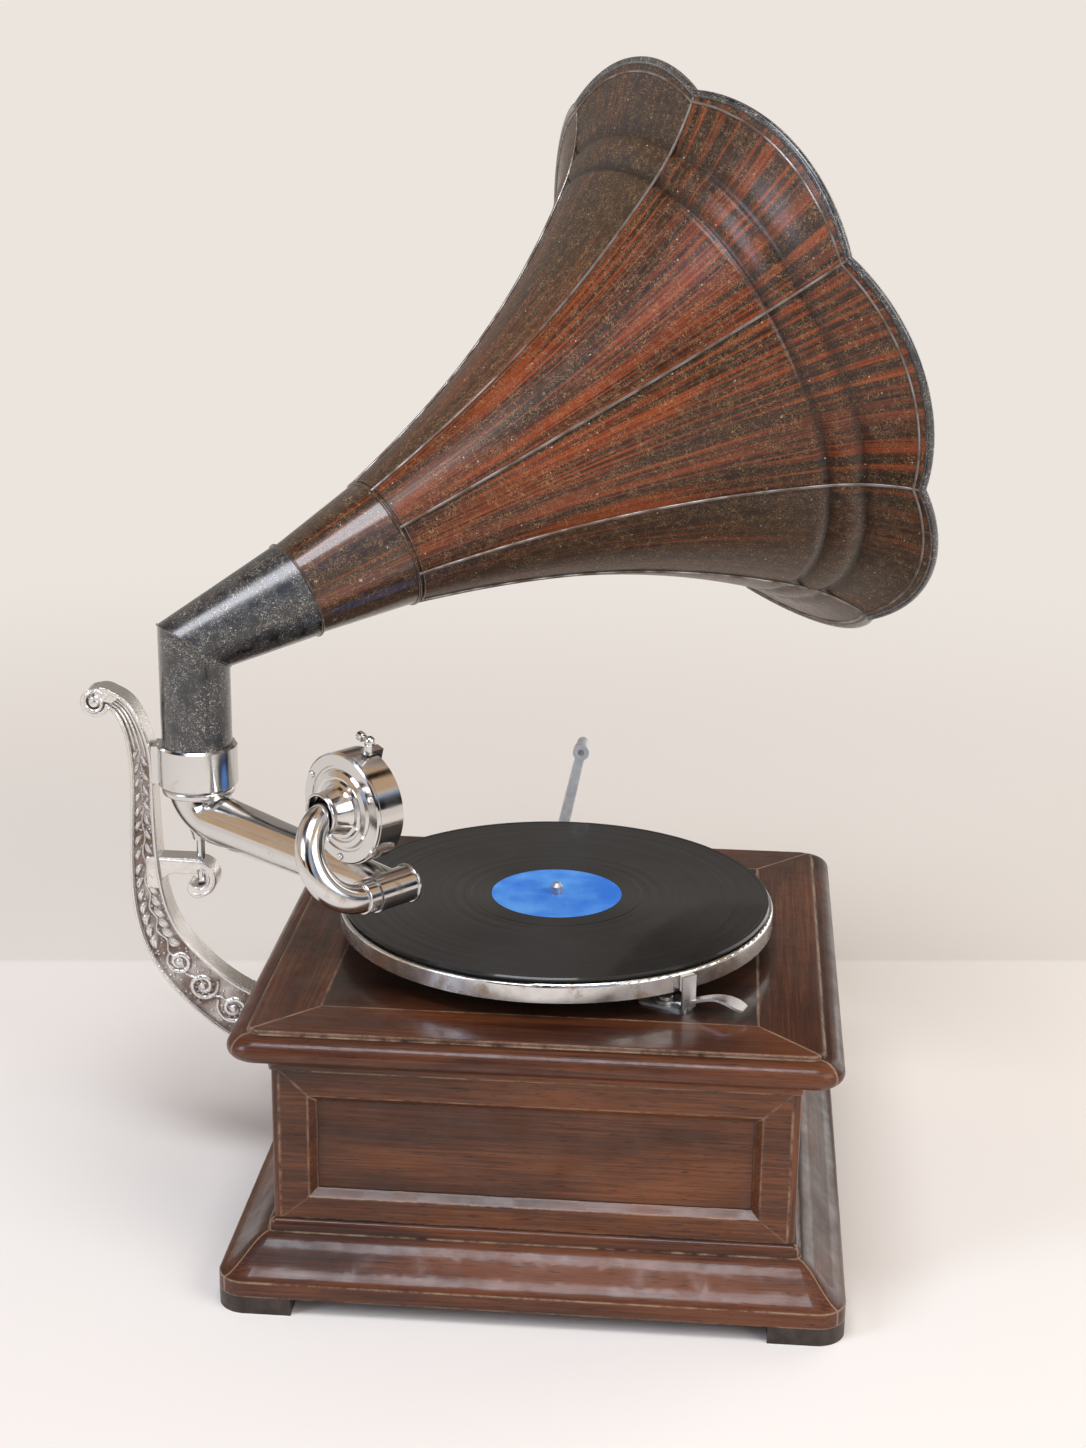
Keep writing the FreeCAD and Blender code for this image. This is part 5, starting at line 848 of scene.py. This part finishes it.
def reliefLeaf(centre, run, long, wide, high):
    points = []
    rows, columns = 12, 8
    across = Vector((-run.y, run.x))
    for r in range(rows + 1):
        share = r / rows
        swell = math.sin(math.pi * share) ** 0.75
        curve = wide * 0.5 * math.sin(math.pi * share)
        for c in range(columns + 1):
            q = 2 * c / columns - 1
            crease = 1 - 0.45 * math.exp(-(q / 0.16) ** 2)
            flat = centre + run * long * (share - 0.5) + across * (q * wide * swell + curve)
            points.append((flat.x, high * swell * (1 - q * q) * crease, flat.y))
    return points, gridFaces(rows + 1, columns + 1)


def reliefBoss(centre, radius, high, rows=6, columns=16):
    points = []
    for r in range(rows + 1):
        up = math.pi / 2 * r / rows
        for t in circle(columns):
            points.append((centre.x + radius * math.cos(up) * math.cos(t), high * math.sin(up),
                           centre.y + radius * math.cos(up) * math.sin(t)))
    return points, gridFaces(rows + 1, columns, around=True)


def makeScrollwork():
    sunk, proud, lugWork, taken = [], [], [], []
    high, bead = relief["high"], relief["bead"]
    for place, outer, start, way in relief["spirals"]:
        middle = onSpine(place, 0.0)[0]
        taken.append((middle, outer + 1))
        sunk.append(reliefStem(spiralPath(middle, outer, 2.6, 1.6, start, way), 1.9, high))
        sunk.append(reliefBoss(middle, 2.8, high))
        for k in range(7):  # small leaves inside the spiral
            turn = start + way * (0.3 + 0.62 * k)
            spin = Vector((math.cos(turn), math.sin(turn)))
            sunk.append(reliefLeaf(middle + spin * (outer * 0.62 - 0.35 * k), spin, outer * 0.45, 1.1, high * 0.75))
    for k in range(relief["leafPairs"]):
        place = relief["leafFrom"] + relief["leafStep"] * k
        half = onSpine(place, 1.0)[0] - onSpine(place, 0.0)[0]
        long = 11.0 if place < 7 else 9.5
        for hand in (-1, 1):
            ahead = relief["leafStep"] / 2 if hand > 0 else 0.0  # the leaves stand by turns
            at, run = onSpine(place + ahead, hand * relief["leafAside"])
            lean = Matrix.Rotation(-hand * relief["leafLean"], 2)
            sunk.append(reliefLeaf(at, lean @ run, long, half.length * 0.34, high))
    sunk.append(reliefStem(spinePath(relief["stem"], 160, sway=0.16), 0.8, high * 0.85))
    for aside in (-0.62, 0.0, 0.62):
        sunk.append(reliefStem(spinePath(relief["flutes"], 40, aside), 0.95, high))
    grains = random.Random(5)
    for k in range(relief["grains"]):
        at = onSpine(grains.uniform(0.4, 9.8), grains.uniform(-0.9, 0.9))[0]
        if all((at - middle).length > reach * 0.8 for middle, reach in taken):
            sunk.append(reliefBoss(at, grains.uniform(0.6, 1.1), high * 0.6, 3, 8))
    for aside in (-1, 1):
        proud.append(reliefStem(spinePath(relief["edges"], 150, aside, aside * relief["rim"] / 2), 0.95, bead))
    eye = Vector((volute["x"], volute["z"]))
    proud.append(reliefStem(spiralPath(eye, volute["radius"], 1.2, 1.8, 0.9, 1), 1.15, bead))
    proud.append(reliefBoss(eye, 2.6, bead * 1.2))
    ring = Vector((hook["x"], hook["z"]))
    arc = [ring + Vector((math.sin(t), math.cos(t))) * hook["outer"]
           for t in [math.pi * 1.1 * k / 40 for k in range(41)]]
    inside = [ring + Vector((math.sin(t), math.cos(t))) * hook["inner"]
              for t in [math.pi * k / 30 for k in range(31)]]
    lugX, lugZ, lugFace = hook["lug"]
    arm = [Vector((lugX + (hook["x"] - lugX) * k / 12, lugZ - k / 12)) for k in range(12)]
    lugWork.append(reliefStem(arm + arc, 0.95, 0.9))
    lugWork.append(reliefStem(inside, 0.8, 0.8))
    points, faces = [], []
    for shapes, base in ((sunk, relief["field"]), (proud, relief["face"]), (lugWork, lugFace)):
        for side in (-1, 1):
            for flat, quads in shapes:
                joinShape(points, faces, [Vector((x, side * (base + y), z)) * mm for x, y, z in flat],
                          quads if side > 0 else [quad[::-1] for quad in quads])
    addPiece("bracketScrollwork", points, faces, [finishes["casting"]], "cabinet")


def makeCap():
    count = len(volute["cap"])  # closes the top of the scroll
    points = [Vector((x, y, z)) * mm for y in (-relief["face"], relief["face"]) for x, z in volute["cap"]]
    faces = [tuple(range(count))[::-1], tuple(range(count, 2 * count))] + gridFaces(2, count, around=True)
    addPiece("bracketCap", points, faces, [finishes["casting"]], "cabinet").data.shade_flat()


makeScrollwork()
makeCap()
print("bracket dressed")

# flared socket that takes the gooseneck into the sound box: distance along the box's axis, and radius
flaredSocket = {"at": (-81.772, -109.274, 228.0), "heading": -40.0, "tilt": -28.0, "spacing": 49.0, "sides": 64,
                "profile": [(-15.4, 14.6), (-16.6, 14.4), (-18.0, 13.5), (-20.5, 12.7), (-23.5, 12.0),
                            (-26.5, 11.5), (-28.2, 11.4), (-28.9, 11.9), (-29.7, 11.9), (-30.1, 11.4),
                            (-30.0, 10.7), (-28.0, 10.4), (-24.0, 10.6)]}


def makeSocket():
    turn = (Matrix.Rotation(math.radians(flaredSocket["heading"]), 3, "Z")
            @ Matrix.Rotation(math.radians(flaredSocket["tilt"]), 3, "Y"))
    points = []
    for along, radius in flaredSocket["profile"]:
        for t in circle(flaredSocket["sides"]):
            local = Vector((radius * math.cos(t), along, flaredSocket["spacing"] + radius * math.sin(t)))
            points.append((Vector(flaredSocket["at"]) + turn @ local) * mm)
    quads = gridFaces(len(flaredSocket["profile"]), flaredSocket["sides"], around=True)
    faces = [(a, d, c, b) for a, b, c, d in quads]  # turned to face outwards
    addPiece("soundboxSocket", points, faces, [finishes["plate"]], "gooseneck")


makeSocket()
print("sound box dressed")

# stringing let in round the motor board, rubbed pale
stringing = {"half": 119.1, "wide": 0.9, "top": 161.45}


def makeStringing():
    points = []
    for half in (stringing["half"] - stringing["wide"] / 2, stringing["half"] + stringing["wide"] / 2):
        for x, y in ((-1, -1), (1, -1), (1, 1), (-1, 1)):
            points.append(Vector((x * half, y * half, stringing["top"])) * mm)
    faces = [(k, 4 + k, 4 + (k + 1) % 4, (k + 1) % 4) for k in range(4)]
    addPiece("boardStringing", points, faces, [finishes["stringing"]], "cabinet")


makeStringing()

# the mitres of the side frames have opened a hair and show as pale lines, from inner to outer corner: x, low z, high z
mitres = {"face": 143.14, "wide": 0.5, "inner": (123.4, 57.4, 118.9), "outer": (138.8, 44.4, 133.7)}


def makeMitres():
    points, faces = [], []
    innerX, innerLow, innerHigh = mitres["inner"]
    outerX, outerLow, outerHigh = mitres["outer"]
    face = Vector((0, -mitres["face"], 0))
    for quarter in range(4):
        turn = Matrix.Rotation(math.pi / 2 * quarter, 3, "Z")
        for hand in (-1, 1):
            for near, far in ((innerLow, outerLow), (innerHigh, outerHigh)):
                a, b = Vector((hand * innerX, 0, near)), Vector((hand * outerX, 0, far))
                run = (b - a).normalized()
                off = Vector((-run.z, 0, run.x)) * mitres["wide"] / 2
                faces.append(tuple(range(len(points), len(points) + 4)))
                points += [turn @ (corner + face) * mm for corner in (a - off, b - off, b + off, a + off)]
    addPiece("frameMitres", points, faces, [finishes["stringing"]], "cabinet")


makeMitres()
print("case dressed")
